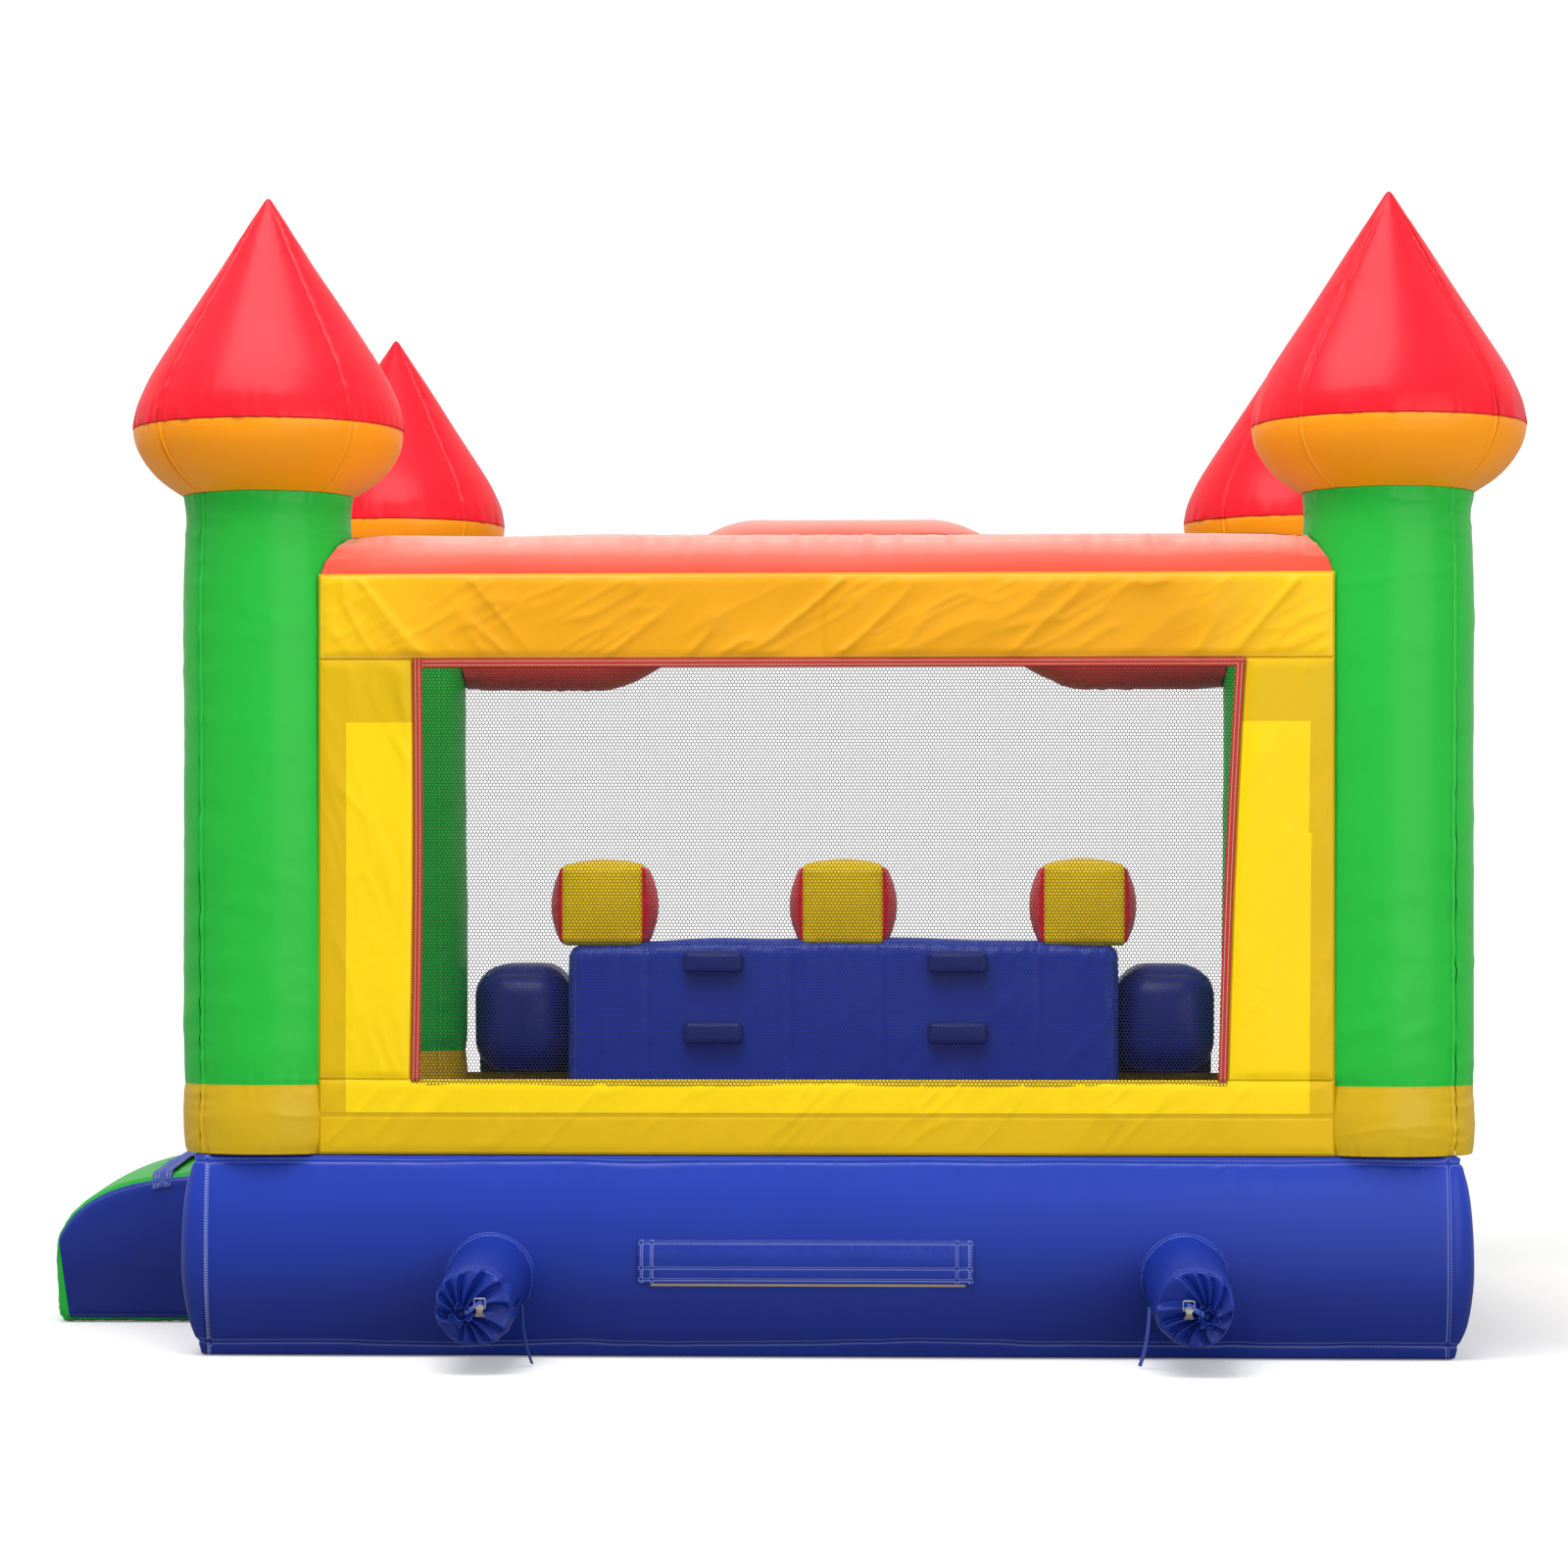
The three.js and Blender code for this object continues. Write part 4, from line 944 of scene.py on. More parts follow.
class BOUNCE_OT_wall_panels(BounceHouseStep):
    """Adds the headers, side panels and sills of the walls, and the low sill by the slide"""

    bl_idname = "bounce_house.wall_panels"
    bl_label = "Wall panels"

    def add(self, node, corners, quarter, folds, finishes, slot, backed=None, lines_z=()):
        points, cloth, seam = wall_sheet(*corners, quarter, folds, lines_z)
        which = backed(*np.moveaxis(cloth[:-1, :-1], -1, 0)).astype(int) if backed else 0
        piece = build(f"{node}_cloth", [grid(points, cloth, seam, which)], finishes,
                      stands_for=[node], thick=sizes().cloth_thickness,
                      outward=False)

    def make(self):
        # The lit copy of the yellow, with a painted glow.
        bright = cloth_of("yellow", rough=0.5, glow=0.05, coat=0.1)
        # Painted shade: a darker copy of the yellow for the parts of the panels and sills that
        # stand in shade.
        colour = np.array(colours().yellow) * (0.80, 0.73, 0.6)
        shaded = cloth_material("Yellow backed cloth", tuple(colour), rough=0.5, coat=0.1)
        amber = cloth_of("amber", rough=0.5, threads=(0.9, 0.75, 0.4), coat=0.1,
                         ends=tuple(colours().yellow))
        for wall, quarter in WALLS.items():
            seed = 400 + 40 * quarter
            first, second = SIDES[wall]

            def header(a, z, seed=seed):
                lean = np.where(a > 0, 0.75, -0.75)
                right = creases(a, z, seed, 0.085, 0.72, 0.013, 6.0)
                left = creases(a, z, seed + 1, 0.06, -0.85, 0.010, 6.0)
                out = right * smooth((a + 1.0) / 0.5) + left * smooth((-0.8 - a) / 0.3)
                out = out + creases(a, z, seed + 2, 0.03, 0.5, 0.005, 6.0)
                return out + 0.005 * (1 + noise(a * 2.4, z * 4 + lean, seed + 3))

            def panel(a, z, seed=seed):
                tilt = 1.2 * float(np.sign(a.flat[0]))
                slant = creases(a, z, seed + 5, 0.075, tilt, 0.010, 6.0)
                fine = creases(a, z, seed + 6, 0.03, tilt * 1.1, 0.004, 7.0)
                out = slant * smooth((z - 1.3) / 0.5) + fine
                return out + 0.004 * (1 + noise(a * 6, z * 2.0, seed + 7))

            def sill(a, z, seed=seed):
                out = puckers(a, np.abs(z - SILL_LINE), seed + 9, 0.05, 0.05, 0.003)
                out = out + creases(a, z, seed + 10, 0.035, 0.8, 0.004, 6.0)
                return out + 0.003 * (1 + noise(a * 2, z * 4, seed + 11))

            self.add(f"{wall}_header", (-REACH, REACH, WINDOW_TOP - 0.004, 2.400), quarter,
                     header, [amber], "amber_fabric")

            z = np.linspace(WINDOW_FOOT, WINDOW_TOP,
                            int((WINDOW_TOP - WINDOW_FOOT) / PANEL_STEP) + 1)[None]
            left, right = window_edges(wall, z)
            for side, start, end in ((first, -REACH, left), (second, right, REACH)):
                # Painted shade on the panels towards the towers and high up, where the column,
                # beam and header stand behind the cloth.
                self.add(f"{wall}_panel_{side}", (start, end, WINDOW_FOOT, WINDOW_TOP), quarter,
                         panel, [bright, shaded], "yellow_fabric",
                         lambda a, z: (np.abs(a) > SHADOW_FROM) | (z > 1.943))

            spans = {"sill": (-REACH, REACH)}
            if wall == "entrance_wall":
                spans = {"sill_far": (-REACH, -DOOR), "sill_near": (DOOR, REACH)}
            for name, (start, end) in spans.items():
                # Painted shade on the sills below their seam and towards the towers.
                self.add(f"{wall}_{name}", (start, end, STANDING, WINDOW_FOOT + 0.004), quarter,
                         sill, [bright, shaded], "yellow_fabric",
                         lambda a, z: (z < SILL_LINE) | (np.abs(a) > SHADOW_FROM), (SILL_LINE,))
        # The low sill by the slide is painted shade all over.
        self.add("slide_sill", (-REACH, REACH, STANDING, 0.740), 2,
                 lambda a, z: 0.004 * (1 + noise(a * 3, z * 6, 480)),
                 [bright, shaded], "yellow_fabric", lambda a, z: np.full(a.shape, True))


class BOUNCE_OT_nets(BounceHouseStep):
    """Adds the window nets with their webbing borders and the hem over the sill"""

    bl_idname = "bounce_house.nets"
    bl_label = "Window nets"

    def add(self, node, wall, start, end):
        quarter = WALLS[wall]
        low, high = WINDOW_FOOT - 0.018, WINDOW_TOP
        z = np.linspace(low, high, 62)[None]
        share = np.linspace(0, 1, max(20, int(np.max(end(z) - start(z)) / 0.02)))[:, None]
        a = start(z) + (end(z) - start(z)) * share
        z = z + 0 * a
        middle = np.sin(math.pi * share) * np.sin(math.pi * (z - low) / (high - low))
        out = 0.0035 + (0.003 * noise(a * 5, z * 1.3, 500 + quarter) - 0.006) * middle
        points = turn(np.stack([a, -(sizes().wall_at + out), z], -1), quarter)
        net = build(f"{node}_mesh", [grid(points, np.stack([a, z], -1))],
                    [net_material("Net", colours().net)],
                    stands_for=[node], outward=False)
        wide = sizes().webbing_width
        z, width = np.linspace(WINDOW_FOOT, high, 150)[:, None], np.linspace(0, wide, 7)[None]
        left, right = start(z), end(z)
        top = np.linspace(left[-1], right[-1], 260)
        patches = []
        for strip_a, strip_z, run in ((left + width, z + 0 * width, z),
                                      (right - width, z + 0 * width, z),
                                      (top + 0 * width, high - width + 0 * top, top)):
            lift = 0.0055 + 0.0012 * noise(run * 14, width * 20, 510) - 0.0008 * (
                np.abs(width / wide - 0.5) * 2) ** 6
            strip = turn(np.stack([strip_a, -(sizes().wall_at + lift), strip_z], -1), quarter)
            along, over = np.broadcast_arrays(run, width)
            patches.append(grid(strip, np.stack([along, over], -1),
                                np.stack([along, over - wide / 2], -1)))
        border = build(f"{node}_border", patches, [webbing_material("Border webbing",
                       tuple(colours().border))], thick=0.0012,
                       outward=False)
        flat = (float(np.mean(end(z) - start(z))), high - low)

    def make(self):
        for wall in ("blower_wall", "window_wall"):
            self.add(f"{wall}_net", wall, lambda z, w=wall: window_edges(w, z)[0],
                     lambda z, w=wall: window_edges(w, z)[1])
        self.add("entrance_wall_net_far", "entrance_wall", lambda z: -WINDOW_SIDE + 0 * z,
                 lambda z: -DOOR + 0 * z)
        self.add("entrance_wall_net_near", "entrance_wall", lambda z: DOOR + 0 * z,
                 lambda z: WINDOW_SIDE + 0 * z)


# ---------------------------------------------------------------- climbing wall and slide

class BOUNCE_OT_climbing_wall(BounceHouseStep):
    """Adds the climb-over wall, its three merlons and four steps"""

    bl_idname = "bounce_house.climbing_wall"
    bl_label = "Climbing wall"

    def make(self):
        faces = inflated([(1.553, STANDING), (1.925, STANDING)], [(1.553, 1.246), (1.925, 1.246)],
                         1.055, bulge=0.006, rim=0.055, crown=(0.010, 0.004),
                         counts=(28, 50, 260), seed=600, pucker=0.010, side_slot=0)
        for face in faces:
            p = face["points"]
            x, front = p[..., 0].copy(), smooth((1.70 - p[..., 1]) / 0.08)
            top = smooth((p[..., 2] - 1.05) / 0.2)
            p[..., 2] += top * (0.018 * (1 - (x / 1.05) ** 2) + 0.006 * noise(x * 4, 0 * x, 640))
            folds = creases(x, p[..., 2], 641, 0.05, 0.9, 0.006, 5.0)
            folds = folds + puckers(x, np.maximum(1.246 - p[..., 2], 0), 642, 0.035, 0.10, 0.008)
            for line in (-0.75, -0.2, 0.15, 0.75):
                folds = folds + groove(x - line, 0.010, 0.008)
                folds = folds + puckers(p[..., 2], np.abs(x - line), 643, 0.04, 0.06, 0.005)
            p[..., 1] -= folds * front
        wall = build("climbing_wall_skin", faces, [cloth_of("blue")],
                     stands_for=["climbing_wall"])
        for number, place in enumerate(("left", "middle", "right")):
            faces = inflated([(1.563, 1.238), (1.912, 1.238)],
                             [(1.563, 1.548), (1.912, 1.548)], 0.162, bulge=0.046, rim=0.030,
                             crown=(0.014, 0.026), counts=(40, 40, 40), seed=620 + 30 * number,
                             pucker=0.006)
            shifted(faces, (number - 1) * 0.925)
            merlon = build(f"merlon_{place}_skin", faces, [cloth_of("yellow"), cloth_of("red")],
                           stands_for=[f"merlon_{place}"])
        steps = {"left": -0.495, "right": 0.440}
        rows = {"upper": 1.174, "lower": 0.904}
        for column, x in steps.items():
            for row, z in rows.items():
                node = f"climbing_step_{column}_{row}"
                faces = inflated([(1.482, z - 0.042), (1.552, z - 0.042)],
                                 [(1.482, z + 0.042), (1.552, z + 0.042)], 0.112, bulge=0.004,
                                 rim=0.020, crown=(0.004, 0.003), counts=(18, 20, 46),
                                 seed=700 + int(z * 100), pucker=0.002, side_slot=0)
                shifted(faces, x)
                step = build(f"{node}_pad", faces, [cloth_of("navy")],
                             stands_for=[node])


class BOUNCE_OT_slide(BounceHouseStep):
    """Adds the two-lane slide: its bed, side rails and divider"""

    bl_idname = "bounce_house.slide"
    bl_label = "Slide"

    def make(self):
        bed = inflated([(1.988, 0.002), (4.142, 0.002)],
                       [(1.955, 1.115), (2.04, 1.118), (3.8, 0.155), (4.142, 0.150)], 1.055,
                       bulge=0.004, rim=0.03, crown=(0.006, 0.014), counts=(130, 24, 90),
                       seed=760, pucker=0.004)
        piece = build("slide_bed_skin", bed, [cloth_of("green"), cloth_of("blue")],
                      stands_for=["slide_bed"])
        low = [(1.645, 0.747), (1.976, 0.747), (1.99, 0.004), (4.142, 0.002)]
        high = [(1.645, 1.163), (2.05, 1.163), (4.06, 0.475), (4.142, 0.40)]
        for side, sign in (("left", -1), ("right", 1)):
            faces = inflated(low, high, 0.186, bulge=0.012, rim=0.125, crown=(0.03, 0.010),
                             counts=(130, 44, 44), seed=800 + sign, pucker=0.006, side_slot=0)
            shifted(faces, sign * (1.0603 + 0.185))
            # Painted shade in part: the rails take the darker navy cloth, which stands for blue
            # in shade as well as for their own colour.
            piece = build(f"slide_rail_{side}_skin", faces, [cloth_of("navy")],
                          stands_for=[f"slide_rail_{side}"])
        divider = inflated([(2.04, 1.135), (3.74, 0.205)], [(2.04, 1.300), (3.74, 0.365)],
                           0.115, bulge=0.006, rim=0.06, crown=(0.012, 0.006),
                           counts=(90, 26, 30), seed=860, pucker=0.004, side_slot=0)
        piece = build("slide_divider_skin", divider, [cloth_of("yellow")],
                      stands_for=["slide_divider"])


class BOUNCE_OT_entrance_ramp(BounceHouseStep):
    """Adds the entrance ramp with its crowned green top, blue sides and hold-down strap"""

    bl_idname = "bounce_house.entrance_ramp"
    bl_label = "Entrance ramp"

    def make(self):
        low = [(1.982, 0.002), (2.575, 0.002)]
        high = curve_through([(1.982, 0.505), (2.20, 0.492), (2.38, 0.455), (2.50, 0.39),
                              (2.565, 0.31), (2.585, 0.24)], 60)
        faces = inflated(low, high, 0.815, bulge=0.004, rim=0.040, crown=(0.012, 0.036),
                         counts=(70, 44, 130), seed=900, pucker=0.009)
        for face in faces[4:]:
            out = face["cloth"][:-1, :-1, 0]
            face["slot"] = np.where(out > out.max() - 0.035, 0, face["slot"])
        for face in faces:
            face["points"] = turn(face["points"], 1)
        ramp = build("entrance_ramp_skin", faces, [cloth_of("green"), cloth_of("blue")],
                     stands_for=["entrance_ramp"])
        across = np.linspace(-0.822, 0.822, 120)[:, None]
        wide = np.linspace(-0.034, 0.034, 7)[None]
        out = 2.225 + wide + 0 * across
        arch = 0.036 * (1 - (across / 0.82) ** 2)
        drop = 0.05 * smooth((np.abs(across) - 0.785) / 0.037)
        z = 0.4985 + arch - (out - 2.225) * 0.17 - drop + 0.002 * noise(across * 9, wide, 930)
        points = turn(np.stack([across + 0 * wide, out, z], -1), 1)
        run, side = np.broadcast_arrays(across, wide)
        build("entrance_ramp_strap", [grid(points, np.stack([run, side], -1),
              np.stack([run, np.abs(side) - 0.02], -1))],
              [webbing_material("Blue webbing", tuple(colours().strap))],
              thick=0.002, outward=False)


# ---------------------------------------------------------------- air tubes

TUBES = {"left": (-1.020, -1), "right": (1.095, 1)}
TUBE_ROUND, TUBE_END, PLEATS = 0.125, 0.528, 11
KNOT, BUCKLE = (0.036, -0.019), (0.020, 0.007)


def in_tube(side, points):
    """Points given along a tube's own frame (X across, Y negative outwards, Z up), turned by
    its droop of 5 degrees about X and moved to its root on the mattress."""
    c, s = math.cos(math.radians(5)), math.sin(math.radians(5))
    points = np.asarray(points, float)
    x, y, z = points[..., 0], points[..., 1], points[..., 2]
    return np.stack([x + TUBES[side][0], y * c - z * s - 1.930, y * s + z * c + 0.25], -1)


class BOUNCE_OT_air_tubes(BounceHouseStep):
    """Adds the two blower tubes, gathered shut in pleats, with their tufts and straps"""

    bl_idname = "bounce_house.air_tubes"
    bl_label = "Air tubes"

    def tube(self, side, lean):
        seed = 950 if side == "left" else 980
        angle = np.linspace(0, TAU, 201)[None]
        t = np.linspace(0.015, TUBE_END, 72)[:, None]
        collar = 0.014 * np.exp(-(np.maximum(t - 0.045, 0) / 0.016) ** 1.2)
        arc = angle * TUBE_ROUND
        out = puckers(arc, t - 0.05, seed, 0.03, 0.06, 0.004)
        out = out + puckers(arc, 0.545 - t, seed + 1, 0.05, 0.14, 0.007)
        out = out + 0.004 * noise(t * 6, angle * 1.2, seed + 2)
        radius = TUBE_ROUND + collar + out - 0.004 * smooth((t - 0.3) / 0.25)
        body = np.stack([radius * np.cos(angle), -t + 0 * angle, radius * np.sin(angle)], -1)
        seam = np.stack(np.broadcast_arrays(arc, np.abs(t - 0.05)), -1)
        patches = [grid(body, np.stack(np.broadcast_arrays(arc, t), -1), seam)]
        knot = np.array([lean * KNOT[0], KNOT[1]])
        shift = np.random.default_rng(seed).uniform(0, TAU)
        warp = angle + 0.16 * np.sin(2 * angle + shift) + 0.10 * np.sin(3 * angle + 2 * shift)
        share = np.linspace(0, 1, 48)[:, None]
        twist = warp + 0.35 * share * lean
        saw = (twist * PLEATS / TAU) % 1.0
        pleat = np.where(saw < 0.22, saw / 0.22, 1 - (saw - 0.22) / 0.78)
        rim_x, rim_z = body[-1, :, 0][None], body[-1, :, 2][None]
        shoulder = np.sin(np.minimum(share / 0.12, 1) * math.pi / 2)
        pull = 1 - (1 - 0.12) * share ** 1.25
        scallop = 1 - 0.05 * (1 - pleat) * smooth(share / 0.1)
        x = knot[0] + (rim_x - knot[0]) * pull * scallop
        z = knot[1] + (rim_z - knot[1]) * pull * scallop
        rise = 0.034 * shoulder + 0.026 * (pleat - 0.45) * smooth(share / 0.25)
        rise = rise + 0.006 * smooth((share - 0.6) / 0.4)
        rise = rise + 0.003 * noise(twist * 6, share * 3, seed + 3) * share
        patches.append(grid(np.stack([x, -(TUBE_END + rise), z], -1)))
        v = np.linspace(0, 1, 22)[:, None]
        ruffle = np.sin(warp * 7 + shift) * v
        tail = 0.013 + 0.019 * v ** 1.3 + 0.006 * ruffle + 0.002 * np.sin(warp * 16) * v
        depth = 0.566 + 0.034 * v + 0.010 * np.cos(warp * 5 + shift) * v
        tuft, inside = (np.stack([knot[0] + wide * np.cos(angle), -depth,
                                  knot[1] + wide * np.sin(angle)], -1)
                        for wide in (tail, tail - 0.003))
        patches += [grid(tuft), grid(np.stack([tuft[-1], inside[-1]])), grid(inside[::-1]),
                    lid(inside[0], inside[0].mean(0))]
        for patch in patches:
            patch["points"] = in_tube(side, patch["points"])
        piece = build(f"air_tube_{side}_skin", patches, [cloth_of("blue")],
                      stands_for=[f"air_tube_{side}"])

    def strap(self, side, lean):
        knot_x, knot_z = lean * KNOT[0], KNOT[1]
        angle = np.linspace(0, TAU, 60)
        ring = np.stack([knot_x + 0.0195 * np.cos(angle), 0 * angle - 0.579,
                         knot_z + 0.0195 * np.sin(angle)], -1)
        wide = np.linspace(-0.008, 0.008, 5)[:, None]
        band = ring[:, None] + wide * np.array([0, 1.0, 0])
        buckle_x, buckle_z = -lean * BUCKLE[0], BUCKLE[1]
        path = curve_through([(knot_x - lean * 0.012, -0.592, knot_z + 0.008),
                              (knot_x - lean * 0.030, -0.593, knot_z + 0.017),
                              (buckle_x + lean * 0.004, -0.588, buckle_z + 0.006),
                              (buckle_x - lean * 0.006, -0.5865, buckle_z + 0.009)], 30)
        tongue = path[:, None] + wide * np.array([0, 0, 1.0])
        drop_x = -lean * 0.122
        path = curve_through([(drop_x, -0.36, -0.03), (drop_x * 1.03, -0.345, -0.10),
                              (drop_x * 1.10, -0.31, -0.17), (drop_x * 1.20, -0.28, -0.222)],
                             60)
        hang = path[:, None] + wide * 1.125 * np.array([0.5, -0.86, 0.0])
        patches = [grid(in_tube(side, p)) for p in (band, tongue, hang)]
        for patch in patches:
            patch["seam"] = np.stack([patch["cloth"][..., 0],
                                      np.full(patch["cloth"].shape[:2], 1.0)], -1)
        build(f"tube_strap_{side}_web", patches, [webbing_material("Blue webbing",
              tuple(colours().strap))], stands_for=[f"tube_strap_{side}"],
              thick=0.0018, outward=False)

    def make(self):
        for side, (_, lean) in TUBES.items():
            self.tube(side, lean)
            self.strap(side, lean)


class BOUNCE_OT_buckles(BounceHouseStep):
    """Adds the cam buckles: bent steel loops, pins and waisted thumb levers"""

    bl_idname = "bounce_house.buckles"
    bl_label = "Buckles"

    def make(self):
        steel = metal_material("Bright steel", tuple(colours().steel), 0.30)
        zinc = metal_material("Cast zinc", tuple(colours().zinc), 0.38)
        for side, (_, lean) in TUBES.items():
            middle = np.array([-lean * BUCKLE[0], -0.5863, BUCKLE[1]])
            half, low, high, bend = 0.0165, -0.006, 0.022, 0.004
            corners = [(half - bend, high - bend, 0), (-half + bend, high - bend, 1),
                       (-half + bend, low + bend, 2), (half - bend, low + bend, 3)]
            arcs = [(x, z, np.linspace(0, math.pi / 2, 7) + quarter * math.pi / 2)
                    for x, z, quarter in corners]
            loop = middle + np.vstack([np.stack([x + bend * np.cos(a), 0 * a - 0.002,
                                                 z + bend * np.sin(a)], -1)
                                       for x, z, a in arcs])
            bar = np.array([(-half, -0.002, 0.001), (0, -0.0025, 0.001),
                            (half, -0.002, 0.001)]) + middle
            patches = swept(loop, 0.0020, 12, closed=True) + swept(bar, 0.0018, 12)
            for ear in (-0.0170, 0.0170):
                tab = np.array([(ear, -0.003, -0.003), (ear, -0.0065, -0.003),
                                (ear, -0.0108, -0.003)]) + middle
                patches += swept(tab, 0.0038, 14, wide=0.0012)
            for patch in patches:
                patch["points"] = in_tube(side, patch["points"])
            build(f"buckle_frame_{side}_loop", patches, [steel],
                  stands_for=[f"buckle_frame_{side}"])
            v = np.linspace(0, 1, 40)[:, None]
            u = np.linspace(0, TAU, 49)[None]
            waist = 0.0148 - 0.0060 * np.sin(math.pi * np.clip(v / 0.9, 0, 1)) ** 1.5
            ease = np.minimum(1, np.minimum(v, 1 - v) / 0.06 + 0.35)
            flat_x = np.sign(np.cos(u)) * np.abs(np.cos(u)) ** 0.35
            flat_y = np.sign(np.sin(u)) * np.abs(np.sin(u)) ** 0.6
            y = -0.007 - 0.004 * np.sin(math.pi * v) + 0.0021 * ease * flat_y
            z = -0.001 - 0.031 * v + 0 * u
            lever = np.stack([waist * ease * flat_x, y, z], -1) + middle
            patches = [grid(lever), *[lid(rim, rim.mean(0)) for rim in (lever[0], lever[-1])]]
            pin = np.array([(-0.0185, -0.007, -0.003), (0, -0.007, -0.003),
                            (0.0185, -0.007, -0.003)]) + middle
            patches += swept(pin, 0.0017, 14)
            for patch in patches:
                patch["points"] = in_tube(side, patch["points"])
            build(f"buckle_cam_{side}_lever", patches, [zinc], body=f"buckle_cam_{side}",
                  stands_for=[f"buckle_cam_{side}"])


# ---------------------------------------------------------------- deflation zip

class BOUNCE_OT_deflation_zip(BounceHouseStep):
    """Adds the stitched cover flap, the zip tape with its teeth and the slider finish"""

    bl_idname = "bounce_house.deflation_zip"
    bl_label = "Deflation zip"

    def make(self):
        low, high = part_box("deflation_flap")
        x, z = lattice(low.x, high.x, 200, low.z, high.z, 32)
        drop = (high.z - z) / (high.z - low.z)
        out = 1.9825 + 0.0085 * smooth(drop * 2.2) + 0.002 * noise(x * 9, z * 14, 1010)
        upright = np.min([np.abs(x - line) for line in
                          (low.x + 0.012, high.x - 0.012, -0.525, 0.405)], axis=0)
        level = np.min([np.abs(z - line) for line in
                        (high.z - 0.010, low.z + 0.012, 0.278)], axis=0)
        lines = np.minimum(upright, level)
        out = out + groove(lines, 0.004, 0.0018)
        out = out + puckers(x, np.abs(z - high.z + 0.01), 1011, 0.02, 0.03, 0.002)
        seam = np.stack([np.where(lines == upright, z, x), lines + 0.0025], -1)
        points = np.stack([x, -out, z], -1)
        flap = build("deflation_flap_cloth", [grid(points, np.stack([x, z], -1), seam)],
                     [cloth_of("blue")], body="deflation_flap",
                     stands_for=["deflation_flap"], thick=0.002, outward=False)
        x, z = lattice(-0.53, 0.43, 120, 0.2225, 0.312, 12)
        tape = grid(np.stack([x, 0 * x - 1.9805, z], -1), np.stack([x, z], -1))
        beige = cloth_material("Beige zip tape", linear("c9b48c"), rough=0.85, stitched=False)
        build("zip_tape", [tape], [beige],
              thick=0.0012, outward=False)
        patches = []
        for count in range(150):
            at = -0.50 + count * 0.006
            row = 0.285 + 0.0016 * (1 if count % 2 else -1)
            tooth = np.array([(at, -1.9812, row - 0.0022), (at, -1.9832, row),
                              (at, -1.9812, row + 0.0022)])
            patches += swept(tooth, 0.0011, 6)
        build("zip_teeth", patches, [cloth_material("Zip teeth", linear("3a3f58"), rough=0.5,
              stitched=False)], outward=False)
        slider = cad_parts["zip_slider"]
        slider.data.materials.clear()
        slider.data.materials.append(metal_material("Cast zinc", tuple(colours().zinc), 0.38))


# ---------------------------------------------------------------- stage

class BOUNCE_OT_stage(BounceHouseStep):
    """Adds the pale floor, the soft studio lights and the camera"""

    bl_idname = "bounce_house.stage"
    bl_label = "Stage"

    def light(self, name, place, target, size, power):
        data = bpy.data.lights.new(name, "AREA")
        data.shape, data.size, data.size_y, data.energy = "RECTANGLE", size[0], size[1], power
        lamp = bpy.data.objects.new(name, data)
        bpy.context.scene.collection.objects.link(lamp)
        lamp.location = place
        aim = bpy.context.scene.cursor.location.copy()
        aim.x, aim.y, aim.z = target
        lamp.rotation_euler = (aim - lamp.location).to_track_quat("-Z", "Y").to_euler()

    def make(self):
        scene = bpy.context.scene
        x, y = lattice(-60, 60, 9, -60, 60, 9)
        finish, n, shader = new_material("Studio floor")
        place = n.add("ShaderNodeTexCoord").outputs["Object"]
        grain = n.add("ShaderNodeTexNoise", Vector=place, Scale=60.0).outputs["Fac"]
        seen = n.add("ShaderNodeLightPath").outputs["Is Camera Ray"]
        tint = n.mix(grain, paint(colours().floor), paint(colours().floor, 0.985))
        n.set(shader.inputs["Base Color"], n.mix(seen, (0.42, 0.42, 0.43, 1), tint))
        shader.inputs["Roughness"].default_value = 0.95
        shader.inputs["Specular IOR Level"].default_value = 0.1
        shader.inputs["Emission Color"].default_value = (1, 1, 1, 1)
        away = n.add("ShaderNodeVectorMath", {"operation": "LENGTH"}, i0=place).outputs["Value"]
        lift = n.math("MULTIPLY_ADD", n.math("DIVIDE", away, 26.0, clamp=True), 0.30, 0.16)
        n.set(shader.inputs["Emission Strength"], n.math("MULTIPLY", seen, lift))
        build_floor(np.stack([x, y, 0 * x - 0.002], -1), finish)

        world = bpy.data.worlds.new("Studio")
        scene.world = world
        world.use_nodes = True
        w = Nodes(world.node_tree)
        background = world.node_tree.nodes["Background"]
        seen = w.add("ShaderNodeLightPath").outputs["Is Camera Ray"]
        w.set(background.inputs["Strength"], w.math("MULTIPLY_ADD", seen, 0.34, 0.72))
        background.inputs["Color"].default_value = (1, 1, 1, 1)
        self.light("Overhead", (-1.5, -4.5, 9.5), (0, -0.5, 0.8), (7, 6), 620)
        self.light("Side fill", (8.0, -14.0, 4.0), (0, -1, 1.6), (14, 8), 700)

        data = bpy.data.cameras.new("Camera")
        data.lens, data.sensor_width = 102.98, 36.0
        data.shift_x, data.shift_y = 0.0339, 0.0851
        data.clip_end = 300
        camera = bpy.data.objects.new("Camera", data)
        scene.collection.objects.link(camera)
        camera.location = (0.2755, -15.642, 1.3467)
        camera.rotation_euler = (math.radians(90), 0, math.radians(2.345))
        scene.camera = camera
        scene.view_settings.view_transform = "Standard"
        scene.view_settings.look = "None"


def build_floor(points, finish):
    """The stage floor as one flat grid."""
    rows, columns = points.shape[:2]
    index = np.arange(rows * columns).reshape(rows, columns)
    quads = np.stack([index[:-1, :-1], index[1:, :-1], index[1:, 1:], index[:-1, 1:]], -1)
    mesh = bpy.data.meshes.new("studio_floor")
    mesh.from_pydata(points.reshape(-1, 3).tolist(), [], quads.reshape(-1, 4).tolist())
    mesh.materials.append(finish)
    piece = bpy.data.objects.new("studio_floor", mesh)
    bpy.context.scene.collection.objects.link(piece)
    return piece


# ---------------------------------------------------------------- add-on

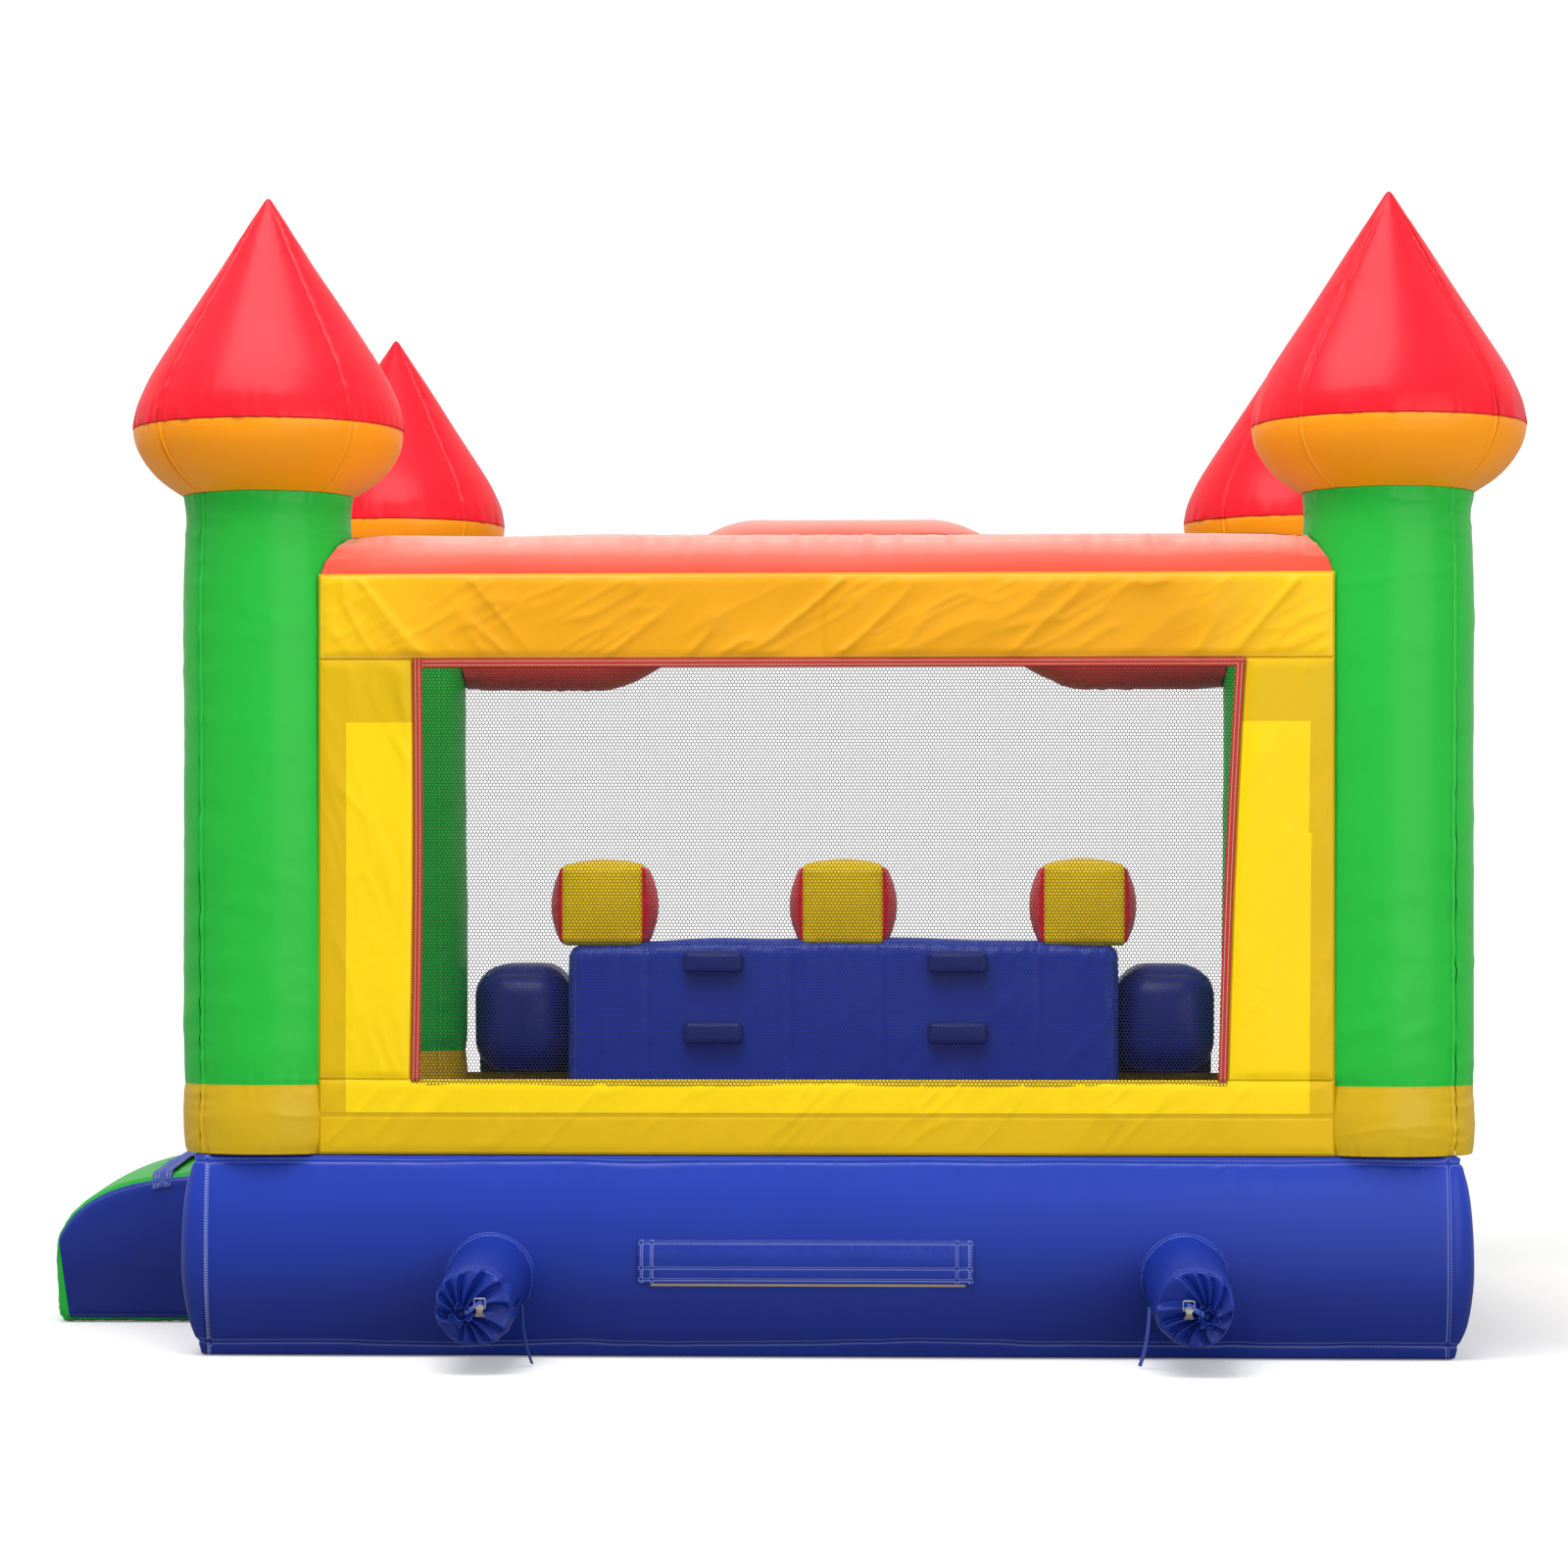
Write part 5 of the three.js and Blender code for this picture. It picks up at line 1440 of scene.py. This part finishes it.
STEPS = [
    BOUNCE_OT_mattress, BOUNCE_OT_mattress_webs, BOUNCE_OT_jump_floor, BOUNCE_OT_towers,
    BOUNCE_OT_beams, BOUNCE_OT_wall_panels, BOUNCE_OT_nets, BOUNCE_OT_climbing_wall,
    BOUNCE_OT_slide, BOUNCE_OT_entrance_ramp, BOUNCE_OT_air_tubes, BOUNCE_OT_buckles,
    BOUNCE_OT_deflation_zip, BOUNCE_OT_stage,
]


class BOUNCE_PT_panel(bpy.types.Panel):
    """The bounce house's sizes, colours and steps."""

    bl_idname = "BOUNCE_PT_panel"
    bl_label = "Bounce House"
    bl_space_type = "VIEW_3D"
    bl_region_type = "UI"
    bl_category = "Bounce House"

    def draw(self, context):
        scene = context.scene
        for group in (scene.bounce_house_sizes, scene.bounce_house_colours):
            box = self.layout.box()
            for key in group.__annotations__:
                box.prop(group, key)
        for step in STEPS:
            self.layout.operator(step.bl_idname)


CLASSES = [BounceHouseSizes, BounceHouseColours, *STEPS, BOUNCE_PT_panel]


def register():
    for item in CLASSES:
        bpy.utils.register_class(item)
    bpy.types.Scene.bounce_house_sizes = bpy.props.PointerProperty(type=BounceHouseSizes)
    bpy.types.Scene.bounce_house_colours = bpy.props.PointerProperty(type=BounceHouseColours)


def unregister():
    del bpy.types.Scene.bounce_house_colours
    del bpy.types.Scene.bounce_house_sizes
    for item in reversed(CLASSES):
        bpy.utils.unregister_class(item)


def main():
    register()
    bpy.ops.bounce_house.mattress()
    bpy.ops.bounce_house.mattress_webs()
    bpy.ops.bounce_house.jump_floor()
    bpy.ops.bounce_house.towers()
    bpy.ops.bounce_house.beams()
    bpy.ops.bounce_house.wall_panels()
    bpy.ops.bounce_house.nets()
    bpy.ops.bounce_house.climbing_wall()
    bpy.ops.bounce_house.slide()
    bpy.ops.bounce_house.entrance_ramp()
    bpy.ops.bounce_house.air_tubes()
    bpy.ops.bounce_house.buckles()
    bpy.ops.bounce_house.deflation_zip()
    bpy.ops.bounce_house.stage()
    bpy.context.view_layer.update()


if __name__ == "__main__":
    main()
